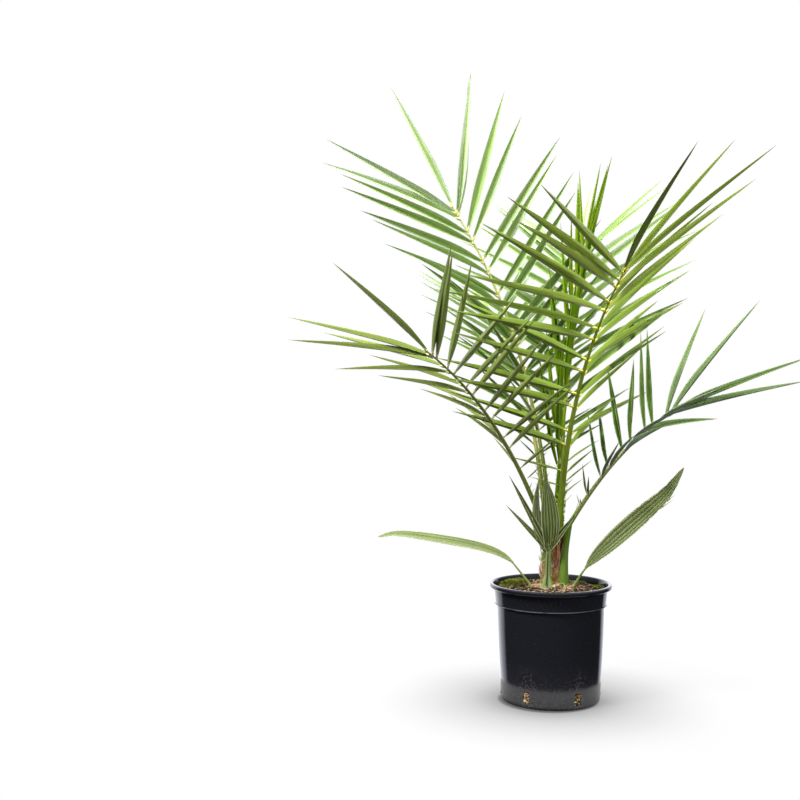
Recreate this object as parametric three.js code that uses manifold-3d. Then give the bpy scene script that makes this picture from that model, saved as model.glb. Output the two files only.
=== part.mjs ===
import * as THREE from 'three';
import { mergeVertices } from 'three/addons/utils/BufferGeometryUtils.js';
import Module from 'manifold-3d';

// Young date palm in a nursery pot. Millimetres, +Z up.
// The origin is the middle of the pot's flat underside. -Y is the plant's front: no frond
// leans that way, and the split juvenile leaf stands there. The low frond leans to +X.

const wasm = await Module();
wasm.setup();

const gap = 0.3;                    // clearance between a piece and its neighbour
const weld = 1e-3;                  // corners nearer than this are one
const up = new THREE.Vector3(0, 0, 1);

const pot = {
  rimRadius: 95, lipHeight: 7, lipInside: 6, height: 180, wall: 2, floor: 3,
  bandRadius: 88.6, bandFootRadius: 86, bandFoot: 148, wallTopRadius: 83.2,
  footRadius: 76, footCorner: 5, sides: 40,
};
const slots = { count: 6, firstAngle: -118, width: 10, foot: 6.5, height: 19 };
const soil = { top: 173, edgeDrop: 3, flatRadius: 58 };
const stem = { x: 5.5, y: 2, footRadius: 17, topRadius: 15.5, top: 262, sides: 12 };
const fibre = { thickness: 2.2, top: 246, halfAngle: 62 };

// A leaflet is a long blade folded to a V along its midrib, widest a third of the way out.
const leaflet = {
  fold: 36, widest: 0.3, waist: 0.7, waistWidth: 0.6, rootWidth: 0.36,
  thickness: 0.0112, width: 0.08, widthLimit: 19, sag: 0.035, grownBy: 0.18,
  bunch: 0.3, stagger: 0.012,
};
// Small turns that a leaflet takes, in order, until it clears every other limb:
// degrees of spread and of lift.
const turns = [[0, 0], [4, 0], [-4, 0], [0, 6], [0, -6], [7, 5], [-7, 5], [7, -5], [-7, -5],
  [11, 0], [-11, 0], [0, 12], [0, -12], [12, 10], [-12, 10], [12, -10], [-12, -10]];

// Every frond is an arched stalk with leaflets in two rows. Lengths in mm, angles in degrees.
//   foot, neck   where the clasping base starts, and where the arc starts
//   heading      compass direction from +X towards +Y; sweep turns it along the length
//   rise, droop  slope at the neck, and how much of it is lost at the tip
//   roll, twist  turn about the stalk at the neck, and its growth to the tip
//   spread       angle between leaflet and stalk: low down in the left row, in the right
//                row, and at the tip
//   fan          between which shares of the leafy stretch the spread turns to that at the tip
//   lift         angle of the two rows out of the frond's plane, low down and at the tip
//   leaf         leaflet length low down, in the middle and at the tip
//   runt         share of that length that the lowest leaflet has; the rows reach full length
//                where leaflet.grownBy of the leafy stretch is passed
//   ruffle       how far, in degrees, the leaflets leave their two rows
//   bare         share of the stalk below the first leaflet
//   end          lean of the single leaflet that ends the frond, towards its left row, or
//                null where the frond ends in a pair
const fronds = {
  spear: {
    foot: [5, 1, stem.top + gap], neck: [5, 1, 266], stalk: [7, 7], heading: 35, sweep: 0,
    rise: 84, droop: 6, length: 430, roll: 0, twist: 0, spread: [15, 15, 12], fan: [0, 1],
    ruffle: 4, lift: [50, 20], leaf: [190, 240, 165], runt: 1, pairs: 9, bare: 0.22, end: 0,
  },
  frond_back_left: {
    foot: [2.5, 13, stem.top + gap], neck: [2.5, 13, 268], stalk: [10, 6.5], heading: 178,
    sweep: 2, rise: 83, droop: 26, length: 532, roll: -31, twist: -27, spread: [56, 56, 35],
    fan: [0.72, 1.04], ruffle: 4.5, lift: [33, 7], leaf: [205, 255, 248], runt: 0.4,
    pairs: 14, bare: 0.27, end: -9,
  },
  frond_left: {
    foot: [-8.5, -7, soil.top + gap], neck: [-6, -10, 258], stalk: [12, 7], heading: 211,
    sweep: 11, rise: 66, droop: 35, length: 356, roll: 6, twist: 17, spread: [69, 69, 49],
    fan: [0.77, 0.88], ruffle: 5, lift: [35, 7], leaf: [150, 150, 225], runt: 0.25,
    pairs: 12, bare: 0.26, end: 10,
  },
  frond_centre: {
    foot: [13, -9, stem.top + gap], neck: [13, -9, 268], stalk: [12.5, 8], heading: -46,
    sweep: -19, rise: 84, droop: 47, length: 430, roll: -15, twist: 38, spread: [65, 78, 46],
    fan: [0.7, 1.02], ruffle: 8, lift: [25, 10], leaf: [150, 250, 286], runt: 0.2,
    pairs: 15, bare: 0.14, end: -7,
  },
  frond_right: {
    foot: [18.7, -11, soil.top + gap], neck: [29.6, -12, 274], stalk: [10, 8.8],
    base: { shares: [0, 0.4, 0.8], sizes: [1.95, 1.45, 1.25], bend: 2.6 }, heading: -6.1,
    sweep: -2.9, rise: 58.1, droop: 25.7, length: 235.3, roll: 8.5, twist: 22.5, spread: [64, 64, 32],
    fan: [0.85, 1], ruffle: 5, lift: [26, 15], leaf: [85, 205, 240], runt: 0.3, pairs: 10,
    bare: 0.132, end: null,
  },
  frond_back: {
    foot: [15.5, 8, stem.top + gap], neck: [15.5, 8, 268], stalk: [10, 6.5], heading: 80,
    sweep: 0, rise: 83, droop: 36, length: 480, roll: 0, twist: 0, spread: [64, 64, 40],
    fan: [0.7, 1], ruffle: 8, lift: [30, 14], leaf: [180, 240, 215], runt: 0.4, pairs: 13,
    bare: 0.25, end: 0,
  },
  frond_back_far_left: {
    foot: [-6.5, 5.5, stem.top + gap], neck: [-6.5, 5.5, 268], stalk: [10, 6.5], heading: 122,
    sweep: 0, rise: 79, droop: 40, length: 385, roll: -6, twist: 0, spread: [62, 62, 42],
    fan: [0.7, 1], ruffle: 8, lift: [30, 14], leaf: [140, 175, 170], runt: 0.4, pairs: 12,
    bare: 0.28, end: 0,
  },
};
const frondSteps = 12;
const stalkSides = 6;
const stalkTip = 0.24;              // stalk size at the tip, as a share of that at the neck

// Juvenile leaves: undivided blades that rise from the soil on thin stalks. Each path runs
// from the soil to the tip; width is that of the blade, bladeFrom its start along the path,
// and taper how soon it narrows to its ends: a low value keeps it wide.
const straps = {
  strap_leaf_right: {
    path: [[33, -14, 173.3], [56, -19, 209], [95, -24, 247], [147, -27, 295], [176, -28, 324],
      [200, -26, 362]],
    width: 34, bladeFrom: 0.16, taper: 0.7, stalk: 5, thickness: 2.8, fold: 12,
    facing: [-0.5, -0.75, 0.5],
  },
  strap_leaf_left: {
    path: [[-27, -16, 173.3], [-50, -20, 203], [-64, -22, 218], [-93, -26, 232],
      [-141, -31, 243], [-229, -39, 256], [-265, -42, 252]],
    width: 21, bladeFrom: 0.2, taper: 0.5, stalk: 4.5, thickness: 3, fold: 14,
    facing: [-0.1, -0.55, 0.83],
  },
};
const splitLeaf = {
  foot: [-4, -25, 173.3], fork: [-2.6, -27.5, 232], stalk: [10, 7.5],
  outline: { ...leaflet, widest: 0.36, waist: 0.78, waistWidth: 0.78 },
  // each blade: where its tip lies from the fork, its width and the way its upper face looks
  blades: [
    { reach: [-65.8, -4, 71], width: 9, facing: [0.2, -1, 0.2] },
    { reach: [-60.8, -10, 119], width: 12, facing: [0.2, -1, 0.2] },
    { reach: [-10.8, -5, 112], width: 12, facing: [0.5, -1, 0], start: [-4, 2, 0] },
    { reach: [-4.8, -14, 117], width: 30, facing: [0, -1, -0.1] },
    { reach: [41, -9, 65], width: 10, facing: [-0.3, -1, 0.2] },
  ],
};

const colours = {
  pot: 0x1d1f26, soil: 0x3c2c1f, stem: 0x6f4a2c, fibre: 0x8c4f38, spear: 0x7fa024,
  frond: 0x6f8f3c, frondPale: 0x97b070, frondOlive: 0x56682f, frondBlue: 0x667f4c,
  juvenile: 0x7c8f5a,
};

const radians = THREE.MathUtils.degToRad;
const vector = ([x, y, z]) => new THREE.Vector3(x, y, z);

// A closed body through rings of equal count, with a flat cap on the first ring and either
// a cap on the last ring or a pointed tip.
function loft(rings, tip) {
  const sides = rings[0].length;
  const points = rings.flat();
  const faces = [];
  for (let k = 1; k < sides - 1; k++) faces.push(0, k + 1, k);
  for (let r = 0; r < rings.length - 1; r++) {
    for (let k = 0; k < sides; k++) {
      const a = r * sides + k;
      const b = r * sides + (k + 1) % sides;
      faces.push(a, b, b + sides, a, b + sides, a + sides);
    }
  }
  const last = (rings.length - 1) * sides;
  if (tip) points.push(tip);
  for (let k = 0; k < sides; k++) {
    if (tip) faces.push(last + k, last + (k + 1) % sides, points.length - 1);
    else if (k > 0 && k < sides - 1) faces.push(last, last + k, last + k + 1);
  }
  const geometry = new THREE.BufferGeometry().setFromPoints(points);
  geometry.setIndex(faces);
  return geometry;
}

// The geometry as a Manifold solid: shared corners merged, collapsed faces dropped, and
// turned right side out if it is inside out.
function solidOf(geometry) {
  const bare = geometry.clone();
  bare.deleteAttribute('normal');
  bare.deleteAttribute('uv');
  const merged = mergeVertices(bare, weld);
  const corner = [new THREE.Vector3(), new THREE.Vector3(), new THREE.Vector3()];
  const kept = [];
  let volume = 0;
  for (let i = 0; i < merged.index.count; i += 3) {
    const [a, b, c] = [0, 1, 2].map((k) => merged.index.getX(i + k));
    if (a === b || b === c || c === a) continue;
    [a, b, c].forEach((v, k) => corner[k].fromBufferAttribute(merged.attributes.position, v));
    volume += corner[0].dot(corner[1].clone().cross(corner[2]));
    kept.push([a, b, c]);
  }
  const triVerts = new Uint32Array(kept.flatMap(([a, b, c]) => (volume < 0 ? [a, c, b] : [a, b, c])));
  const vertProperties = new Float32Array(merged.attributes.position.array);
  return new wasm.Manifold(new wasm.Mesh({ numProp: 3, vertProperties, triVerts }));
}

function geometryOf(solid) {
  const { vertProperties, triVerts } = solid.getMesh();
  const geometry = new THREE.BufferGeometry();
  geometry.setAttribute('position', new THREE.BufferAttribute(vertProperties, 3));
  geometry.setIndex(new THREE.BufferAttribute(triVerts, 1));
  geometry.computeVertexNormals();
  return geometry;
}

// The largest body of a solid, welded again first so that no pinched pocket is left in it.
function largestPart(solid) {
  return solidOf(geometryOf(solid)).decompose().sort((a, b) => b.volume() - a.volume())[0];
}

const uniteAll = (solids) => solids.reduce((sum, next) => sum.add(next));

function turned(profile) {
  const points = profile.map(([radius, z]) => new THREE.Vector2(radius, z));
  return new THREE.LatheGeometry(points, pot.sides).rotateX(Math.PI / 2);
}

// Outer wall of the pot from the foot corner up to the band, as radius and height.
function wallProfile(inset) {
  const bulge = 0.9;               // the wall is a little fuller than a straight cone
  const steps = 5;
  const from = pot.footCorner;
  return Array.from({ length: steps + 1 }, (_, i) => {
    const share = i / steps;
    const radius = THREE.MathUtils.lerp(pot.footRadius, pot.wallTopRadius, share)
      + bulge * Math.sin(Math.PI * share);
    return [radius - inset, THREE.MathUtils.lerp(from, pot.bandFoot - 1, share)];
  });
}

function makePot() {
  const corner = [0, 1, 2].map((i) => {
    const angle = radians(-90 + 30 * i);
    return [pot.footRadius - pot.footCorner * (1 - Math.cos(angle)),
      pot.footCorner * (1 + Math.sin(angle))];
  });
  const lipFoot = pot.height - pot.lipHeight;
  const outside = [[0, 0], ...corner, ...wallProfile(0),
    [pot.bandFootRadius, pot.bandFoot], [pot.bandRadius, lipFoot],
    [pot.rimRadius - 1.5, lipFoot], [pot.rimRadius, lipFoot + 1.8],
    [pot.rimRadius, pot.height - 1.5], [pot.rimRadius - 1.5, pot.height]];
  const inside = [[pot.rimRadius - pot.lipInside, pot.height],
    [pot.bandRadius - pot.wall, lipFoot - 1],
    [pot.bandFootRadius - pot.wall, pot.bandFoot + 1],
    ...wallProfile(pot.wall).reverse().slice(0, -1),
    [pot.footRadius - pot.wall - 1, pot.floor + 3], [pot.footRadius - 5, pot.floor],
    [0, pot.floor]];
  let shell = solidOf(turned([...outside, ...inside]));
  for (let i = 0; i < slots.count; i++) {
    const depth = 16;
    const cutter = new THREE.BoxGeometry(depth, slots.width, slots.height)
      .translate(pot.footRadius, 0, slots.foot + slots.height / 2)
      .rotateZ(radians(slots.firstAngle + 360 / slots.count * i));
    shell = shell.subtract(solidOf(cutter));
  }
  return geometryOf(shell);
}

function makeSoil() {
  const inset = pot.wall + gap + 0.1;
  const upper = (share) => THREE.MathUtils.lerp(pot.bandFootRadius, pot.bandRadius, share) - inset;
  const edge = soil.top - soil.edgeDrop;
  const edgeShare = (edge - pot.bandFoot) / (pot.height - pot.lipHeight - pot.bandFoot);
  return turned([[0, soil.top], [soil.flatRadius, soil.top], [upper(edgeShare) - 4, edge + 1],
    [upper(edgeShare), edge], [upper(0), pot.bandFoot + 1.4],
    ...wallProfile(inset).reverse().slice(0, -1),
    [pot.footRadius - inset - 1.4, pot.floor + 3.2], [pot.footRadius - 5.6, pot.floor + gap],
    [0, pot.floor + gap]]);
}

// A level oval ring of points, used for the stem and what wraps it.
function levelRing(x, y, z, radius, sides = stem.sides) {
  return Array.from({ length: sides }, (_, k) => {
    const angle = 2 * Math.PI * k / sides;
    return new THREE.Vector3(x + radius * Math.cos(angle), y + radius * Math.sin(angle), z);
  });
}

function stemBody(grow, foot, top) {
  const steps = 5;
  const span = stem.top - soil.top;
  return loft(Array.from({ length: steps + 1 }, (_, i) => {
    const z = THREE.MathUtils.lerp(foot, top, i / steps);
    const share = THREE.MathUtils.clamp((z - soil.top) / span, 0, 1);
    const radius = THREE.MathUtils.lerp(stem.footRadius, stem.topRadius, share ** 0.7);
    return levelRing(stem.x, stem.y, z, radius + grow);
  }));
}

// The stalk's middle line from foot to tip, as stations with place, direction and the
// share along the arc (below 0 on the clasping base).
function stationsOf(frond) {
  const heading = (u) => radians(frond.heading + frond.sweep * u);
  const slope = (u) => radians(frond.rise - frond.droop * u ** 1.5);
  const aim = (u) => new THREE.Vector3(Math.cos(slope(u)) * Math.cos(heading(u)),
    Math.cos(slope(u)) * Math.sin(heading(u)), Math.sin(slope(u)));
  const step = frond.length / frondSteps;
  const stations = [{ at: vector(frond.neck), along: aim(0), heading: heading(0), u: 0 }];
  for (let i = 1; i <= frondSteps; i++) {
    const u = i / frondSteps;
    const mean = aim(u).add(aim(u - 1 / frondSteps)).multiplyScalar(step / 2);
    stations.push({ at: stations[i - 1].at.clone().add(mean), along: aim(u), heading: heading(u), u });
  }
  return stations;
}

// Place and axes at share u of the arc: along the stalk, to its left, and out of its upper face.
function frameAt(frond, stations, u) {
  const i = Math.min(Math.floor(u * frondSteps), frondSteps - 1);
  const f = u * frondSteps - i;
  const [low, high] = [stations[i], stations[i + 1]];
  const at = low.at.clone().lerp(high.at, f);
  const along = low.along.clone().lerp(high.along, f).normalize();
  const heading = THREE.MathUtils.lerp(low.heading, high.heading, f);
  const left = new THREE.Vector3(-Math.sin(heading), Math.cos(heading), 0);
  left.addScaledVector(along, -left.dot(along)).normalize();
  const face = along.clone().cross(left);
  const turn = radians(frond.roll + frond.twist * u);
  left.applyAxisAngle(along, turn);
  face.applyAxisAngle(along, turn);
  return { at, along, left, face };
}

const stalkSize = (u) => 1 - (1 - stalkTip) * u ** 0.8;
// Below its neck a stalk is a little thicker: at these shares of the way up, with these sizes.
// A bend above 1 lets it stand upright first and lean over near the neck.
const plainBase = { shares: [0, 0.6], sizes: [1.15, 1.08], bend: 1 };

function makeStalk(frond, stations) {
  const [width, depth] = frond.stalk;
  const ring = ({ at, left, face }, size) => Array.from({ length: stalkSides }, (_, k) => {
    const angle = 2 * Math.PI * (k + 0.5) / stalkSides;
    return at.clone().addScaledVector(left, Math.cos(angle) * width * size / 2)
      .addScaledVector(face, Math.sin(angle) * depth * size / 2);
  });
  const neck = frameAt(frond, stations, 0);
  const level = { at: vector(frond.foot), along: up, left: neck.left.clone().setZ(0).normalize() };
  level.face = up.clone().cross(level.left);
  const { shares, sizes, bend } = frond.base ?? plainBase;
  const [foot, top] = [vector(frond.foot), vector(frond.neck)];
  const rings = shares.slice(0, top.z - foot.z > 20 ? undefined : 1).map((share, i) => {
    const at = foot.clone().lerp(top, share ** bend).setZ(THREE.MathUtils.lerp(foot.z, top.z, share));
    return ring({ ...level, at }, sizes[i]);
  });
  for (const station of stations) rings.push(ring(frameAt(frond, stations, station.u), stalkSize(station.u)));
  return solidOf(loft(rings));
}

// One leaflet as a closed folded blade. The middle line leaves `from` along `aim` and sags.
function blade(from, aim, face, length, width, thickness, outline = leaflet) {
  const across = aim.clone().cross(face).normalize();
  const out = across.clone().cross(aim).normalize();
  const fold = radians(leaflet.fold);
  const middle = (share) => from.clone().addScaledVector(aim, length * share)
    .addScaledVector(up, -leaflet.sag * length * share * share);
  const ring = (share, size) => {
    const half = width * size / 2;
    const deep = thickness * Math.max(size, 0.6) / 2;
    const centre = middle(share);
    const edge = (side) => centre.clone().addScaledVector(across, side * half * Math.cos(fold))
      .addScaledVector(out, half * Math.sin(fold));
    return [centre.clone().addScaledVector(out, -deep), edge(1),
      centre.clone().addScaledVector(out, deep), edge(-1)];
  };
  return solidOf(loft([ring(0, outline.rootWidth), ring(outline.widest, 1),
    ring(outline.waist, outline.waistWidth)], middle(1)));
}

// Where the leaflets leave the stalk: two staggered rows, in bunches of two, that crowd
// together towards the tip, and the end leaflet, which belongs to neither side.
function leafletPlaces({ pairs, bare, end }) {
  const last = end === null ? 1 : 0.985;
  const rowAt = (i) => last - (last - bare) * (1 - i / (pairs - 1)) ** 1.25;
  const places = [];
  for (let i = 0; i < pairs; i++) {
    const bunched = i % 2 ? rowAt(i) - leaflet.bunch * (rowAt(i) - rowAt(i - 1)) : rowAt(i);
    for (const side of [1, -1]) {
      const stagger = side < 0 && i < pairs - 1 ? leaflet.stagger : 0;
      places.push({ u: bunched + stagger, side, number: places.length });
    }
  }
  if (end !== null) places.push({ u: 1, side: 0, number: places.length });
  return places;
}

function makeLeaflet(frond, stations, { u, side, number }, [spreadTurn, liftTurn]) {
  const { at, along, left, face } = frameAt(frond, stations, u);
  const v = THREE.MathUtils.clamp((u - frond.bare) / (1 - frond.bare), 0, 1);
  const [leftLow, rightLow, tipSpread] = frond.spread;
  const turned = THREE.MathUtils.smoothstep(v, ...frond.fan);
  const rowSpread = THREE.MathUtils.lerp(side > 0 ? leftLow : rightLow, tipSpread, turned);
  const fanned = side ? rowSpread : frond.end;
  const ruffle = side ? frond.ruffle : 0;
  const spread = radians(fanned + 0.5 * ruffle * Math.sin(2.4 * number) + spreadTurn);
  const lift = radians(THREE.MathUtils.lerp(...frond.lift, v) + ruffle * Math.sin(1.7 * number + 1)
    + liftTurn);
  const [first, middle, last] = frond.leaf;
  const grown = Math.min(1, frond.runt + (1 - frond.runt) * v / leaflet.grownBy);
  const length = grown * ((1 - v) ** 2 * first + 2 * v * (1 - v) * middle + v * v * last)
    * (1 + 0.05 * Math.sin(3.1 * number));
  const aim = along.clone().multiplyScalar(Math.cos(spread))
    .addScaledVector(left, Math.sin(spread) * (side || 1) * Math.cos(lift))
    .addScaledVector(face, Math.sin(spread) * Math.sin(lift));
  const width = Math.min(leaflet.width * length, leaflet.widthLimit);
  return blade(at, aim.normalize(), face, length, width, leaflet.thickness * length);
}

function boxesApart(a, b, reach) {
  return [0, 1, 2].some((k) => a.min[k] - b.max[k] > reach || b.min[k] - a.max[k] > reach);
}

const touches = (a, b) => !boxesApart(a.boundingBox(), b.boundingBox(), gap) && a.minGap(b, 1) < gap;

// All fronds: the stalks first, cut clear of the stem, then the leaflets one by one. A
// leaflet that would touch another frond takes the first small turn that clears it.
function makeFronds() {
  const stemClear = solidOf(stemBody(gap, soil.top, stem.top + gap));
  const limbs = Object.entries(fronds).map(([name, frond]) => {
    const stations = stationsOf(frond);
    return { name, frond, stations, parts: [makeStalk(frond, stations).subtract(stemClear)] };
  });
  for (const limb of limbs) {
    for (const place of leafletPlaces(limb.frond)) {
      const others = limbs.filter((other) => other !== limb).flatMap((other) => other.parts);
      for (const turn of turns) {
        const leaf = makeLeaflet(limb.frond, limb.stations, place, turn);
        if (others.some((other) => touches(leaf, other))) continue;
        limb.parts.push(leaf);
        break;
      }
    }
  }
  return limbs;
}

function makeFibre(stalks) {
  const steps = [0, 0.5, 1];
  const reach = 60;
  const sector = new THREE.Shape([new THREE.Vector2(0, 0),
    ...[-1, 1].map((side) => new THREE.Vector2(
      reach * Math.sin(radians(fibre.halfAngle)) * side,
      -reach * Math.cos(radians(fibre.halfAngle)),
    ))]);
  const wedge = new THREE.ExtrudeGeometry(sector, { depth: 200, bevelEnabled: false })
    .translate(stem.x, stem.y, soil.top);
  const foot = soil.top + gap;
  const rings = steps.map((share) => {
    const z = THREE.MathUtils.lerp(foot, fibre.top, share);
    const radius = THREE.MathUtils.lerp(stem.footRadius, stem.topRadius, share) + fibre.thickness;
    return levelRing(stem.x, stem.y, z, radius);
  });
  let sheath = solidOf(loft(rings)).subtract(solidOf(stemBody(gap, soil.top - 5, stem.top + 5)));
  sheath = sheath.intersect(solidOf(wedge));
  for (const grown of stalks) sheath = sheath.subtract(grown);
  return largestPart(sheath);
}

// A blade that follows a path, with a thin stalk below it: used for the strap leaves.
function makeStrap({ path, width, bladeFrom, taper, stalk, thickness, fold, facing }) {
  const curve = new THREE.CatmullRomCurve3(path.map(vector));
  const steps = 12;
  const face = vector(facing).normalize();
  const rings = [];
  for (let i = 0; i < steps; i++) {
    const share = i / steps;
    const along = curve.getTangentAt(share);
    const across = along.clone().cross(face).normalize();
    const out = across.clone().cross(along);
    const blade = THREE.MathUtils.clamp((share - bladeFrom) / (1 - bladeFrom), 0, 1);
    const half = Math.max(stalk / 2, width / 2 * Math.sin(Math.PI * blade ** 0.82) ** taper);
    const deep = (share > bladeFrom ? thickness : stalk) / 2;
    const centre = curve.getPointAt(share);
    const rise = half * Math.tan(radians(share > bladeFrom ? fold : 0));
    rings.push([centre.clone().addScaledVector(out, -deep),
      centre.clone().addScaledVector(across, half).addScaledVector(out, rise),
      centre.clone().addScaledVector(out, deep),
      centre.clone().addScaledVector(across, -half).addScaledVector(out, rise)]);
  }
  const foot = rings[0].map((point) => point.clone().setZ(path[0][2]));
  rings[0] = foot;
  return geometryOf(solidOf(loft(rings, curve.getPointAt(1))));
}

function makeSplitLeaf() {
  const { foot, fork, stalk, blades } = splitLeaf;
  const [wide, narrow] = stalk;
  const stalkRing = (share, size) => {
    const centre = vector(foot).lerp(vector(fork), share);
    return Array.from({ length: stalkSides }, (_, k) => {
      const angle = 2 * Math.PI * k / stalkSides;
      return new THREE.Vector3(centre.x + Math.cos(angle) * wide * size / 2,
        centre.y + Math.sin(angle) * narrow * size / 2, centre.z);
    });
  };
  const parts = [solidOf(loft([stalkRing(0, 1.5), stalkRing(0.25, 0.95), stalkRing(1, 0.8)]))];
  for (const { reach, width, facing, start = [0, 0, 0] } of blades) {
    const aim = vector(reach);
    const length = aim.length();
    const from = vector(fork).add(vector(start)).addScaledVector(aim, -0.05);
    const thickness = Math.max(0.014 * length, 1.6);
    const outline = { ...splitLeaf.outline, rootWidth: Math.min(0.5, 6 / width) };
    parts.push(blade(from, aim.normalize(), vector(facing).normalize(), length * 1.05, width,
      thickness, outline));
  }
  return geometryOf(largestPart(uniteAll(parts)));
}

const plant = new THREE.Group();

function addNode(name, geometry, color, roughness) {
  const material = new THREE.MeshStandardMaterial({ color, roughness, metalness: 0 });
  const mesh = new THREE.Mesh(geometry, material);
  mesh.name = name;
  plant.add(mesh);
}

const frondColours = {
  spear: colours.spear, frond_back_left: colours.frondPale, frond_left: colours.frondOlive,
  frond_centre: colours.frond, frond_right: colours.frondBlue, frond_back: colours.frondPale,
  frond_back_far_left: colours.frondPale,
};

addNode('pot', makePot(), colours.pot, 0.35);
addNode('soil', geometryOf(solidOf(makeSoil())), colours.soil, 0.95);
addNode('stem', geometryOf(solidOf(stemBody(0, soil.top + gap, stem.top))), colours.stem, 0.9);

const limbs = makeFronds();
const grownStalks = limbs.filter(({ frond }) => frond.foot[2] < stem.top).map(({ frond, stations }) => {
  const grown = { ...frond, stalk: frond.stalk.map((size) => size + 2 * gap + 0.4) };
  grown.foot = [frond.foot[0], frond.foot[1], soil.top - 5];
  return makeStalk(grown, stations);
});
addNode('fibre_sheath', geometryOf(makeFibre(grownStalks)), colours.fibre, 0.9);
for (const { name, parts } of limbs) {
  addNode(name, geometryOf(largestPart(uniteAll(parts))), frondColours[name], 0.55);
}
for (const [name, strap] of Object.entries(straps)) {
  addNode(name, makeStrap(strap), colours.juvenile, 0.6);
}
addNode('split_leaf', makeSplitLeaf(), colours.juvenile, 0.6);

export default plant;
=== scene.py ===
# Young date palm in a nursery pot: the looks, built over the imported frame.
# Sizes are in millimetres and become metres when a mesh is made. +Z is up and -Y is the front.
import math
import random
from functools import partial

import bpy
import numpy as np
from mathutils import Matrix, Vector, noise


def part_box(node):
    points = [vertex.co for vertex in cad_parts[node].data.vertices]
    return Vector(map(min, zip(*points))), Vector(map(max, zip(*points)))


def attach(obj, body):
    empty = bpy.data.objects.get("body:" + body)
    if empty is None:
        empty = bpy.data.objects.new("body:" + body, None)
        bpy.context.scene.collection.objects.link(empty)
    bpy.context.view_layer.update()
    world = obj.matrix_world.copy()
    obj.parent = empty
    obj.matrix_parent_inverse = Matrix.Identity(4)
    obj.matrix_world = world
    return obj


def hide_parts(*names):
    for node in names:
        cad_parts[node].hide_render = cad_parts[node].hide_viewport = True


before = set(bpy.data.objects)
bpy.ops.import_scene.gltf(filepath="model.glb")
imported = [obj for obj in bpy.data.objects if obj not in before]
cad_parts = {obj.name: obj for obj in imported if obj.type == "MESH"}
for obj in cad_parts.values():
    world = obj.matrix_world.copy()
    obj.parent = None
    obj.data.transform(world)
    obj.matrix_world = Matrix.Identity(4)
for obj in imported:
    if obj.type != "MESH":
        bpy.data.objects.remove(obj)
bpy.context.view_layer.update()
mm = 0.001
up = np.array([0.0, 0.0, 1.0])
print("frame loaded:", len(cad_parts), "nodes")


def cadSize(node):
    low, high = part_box(node)
    return np.array(low) / mm, np.array(high) / mm


potHigh = cadSize("pot")[1]
soilTop = cadSize("soil")[1][2]
stemLow, stemHigh = cadSize("stem")
stemTop = stemHigh[2]
stemMiddle = (stemLow + stemHigh) / 2


def unit(vector):
    return vector / np.linalg.norm(vector, axis=-1, keepdims=True)


def lerp(a, b, share):
    return a + (b - a) * share


def smooth(share):
    share = np.clip(share, 0, 1)
    return share * share * (3 - 2 * share)


def turnAbout(axis, vector, angle):
    cosine, sine = np.cos(angle), np.sin(angle)
    return vector * cosine + np.cross(axis, vector) * sine + axis * np.dot(axis, vector) * (1 - cosine)


# A level arm of length 1 that points along an angle, and the angles of so many even steps.
def spoke(angle):
    return np.array([math.cos(angle), math.sin(angle), 0])


def roundAngles(count):
    return np.linspace(0, math.tau, count, endpoint=False)


# The way gone at each point of a path.
def reachAlong(path):
    return np.append(0, np.cumsum(np.linalg.norm(np.diff(path, axis=0), axis=1)))


def lumps(x, y, z):
    return noise.noise(Vector((x, y, z)))


def pieceTitle(node):
    return "".join(word.capitalize() for word in node.split("_"))


# A heap gathers many small closed forms, each face with its finish, into one mesh.
def newHeap():
    return {"points": [], "quads": [], "finish": [], "map": [], "caps": [], "capFinish": [], "count": 0}


# The signed volume that a stack of rings encloses.
def enclosed(rings):
    middle = rings.mean(1)
    a, b = rings - middle[:, None], np.roll(rings, -1, 1) - middle[:, None]
    areas = np.cross(a, b).sum(1) / 2
    steps = np.diff(middle, axis=0)
    return ((areas[1:] + areas[:-1]) / 2 * steps).sum()


# rings is (rows, columns, 3). finish is one index, or one for each face of the loft.
def addLoft(heap, rings, finish=0, across=None, along=None, caps=(True, True)):
    rings = np.asarray(rings, float)
    rows, columns = rings.shape[:2]
    index = heap["count"] + np.arange(rows * columns).reshape(rows, columns)
    facesIn = enclosed(rings) < 0
    heap["points"].append(rings.reshape(-1, 3))
    heap["count"] += rows * columns
    low, high = index[:-1], index[1:]
    quads = np.stack([low, np.roll(low, -1, 1), np.roll(high, -1, 1), high], 2)
    if facesIn:
        quads = quads[:, :, ::-1]
    heap["quads"].append(quads.reshape(-1, 4))
    finish = np.broadcast_to(finish, (rows - 1, columns))
    heap["finish"].append(finish.reshape(-1))
    u = np.arange(columns + 1.0) if across is None else np.append(across, across[0])
    v = np.arange(rows * 1.0) if along is None else np.asarray(along, float)
    corners = np.zeros((rows - 1, columns, 4, 2))
    corners[:, :, 0, 0] = corners[:, :, 3, 0] = u[:-1]
    corners[:, :, 1, 0] = corners[:, :, 2, 0] = u[1:]
    corners[:, :, 0, 1] = corners[:, :, 1, 1] = v[:-1, None]
    corners[:, :, 2, 1] = corners[:, :, 3, 1] = v[1:, None]
    if facesIn:
        corners = corners[:, :, ::-1]
    heap["map"].append(corners.reshape(-1, 2))
    for wanted, row, turned in ((caps[0], 0, not facesIn), (caps[1], -1, facesIn)):
        if wanted:
            heap["caps"].append(index[row][::-1 if turned else 1].tolist())
            heap["capFinish"].append(int(finish[row, 0]))


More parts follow.
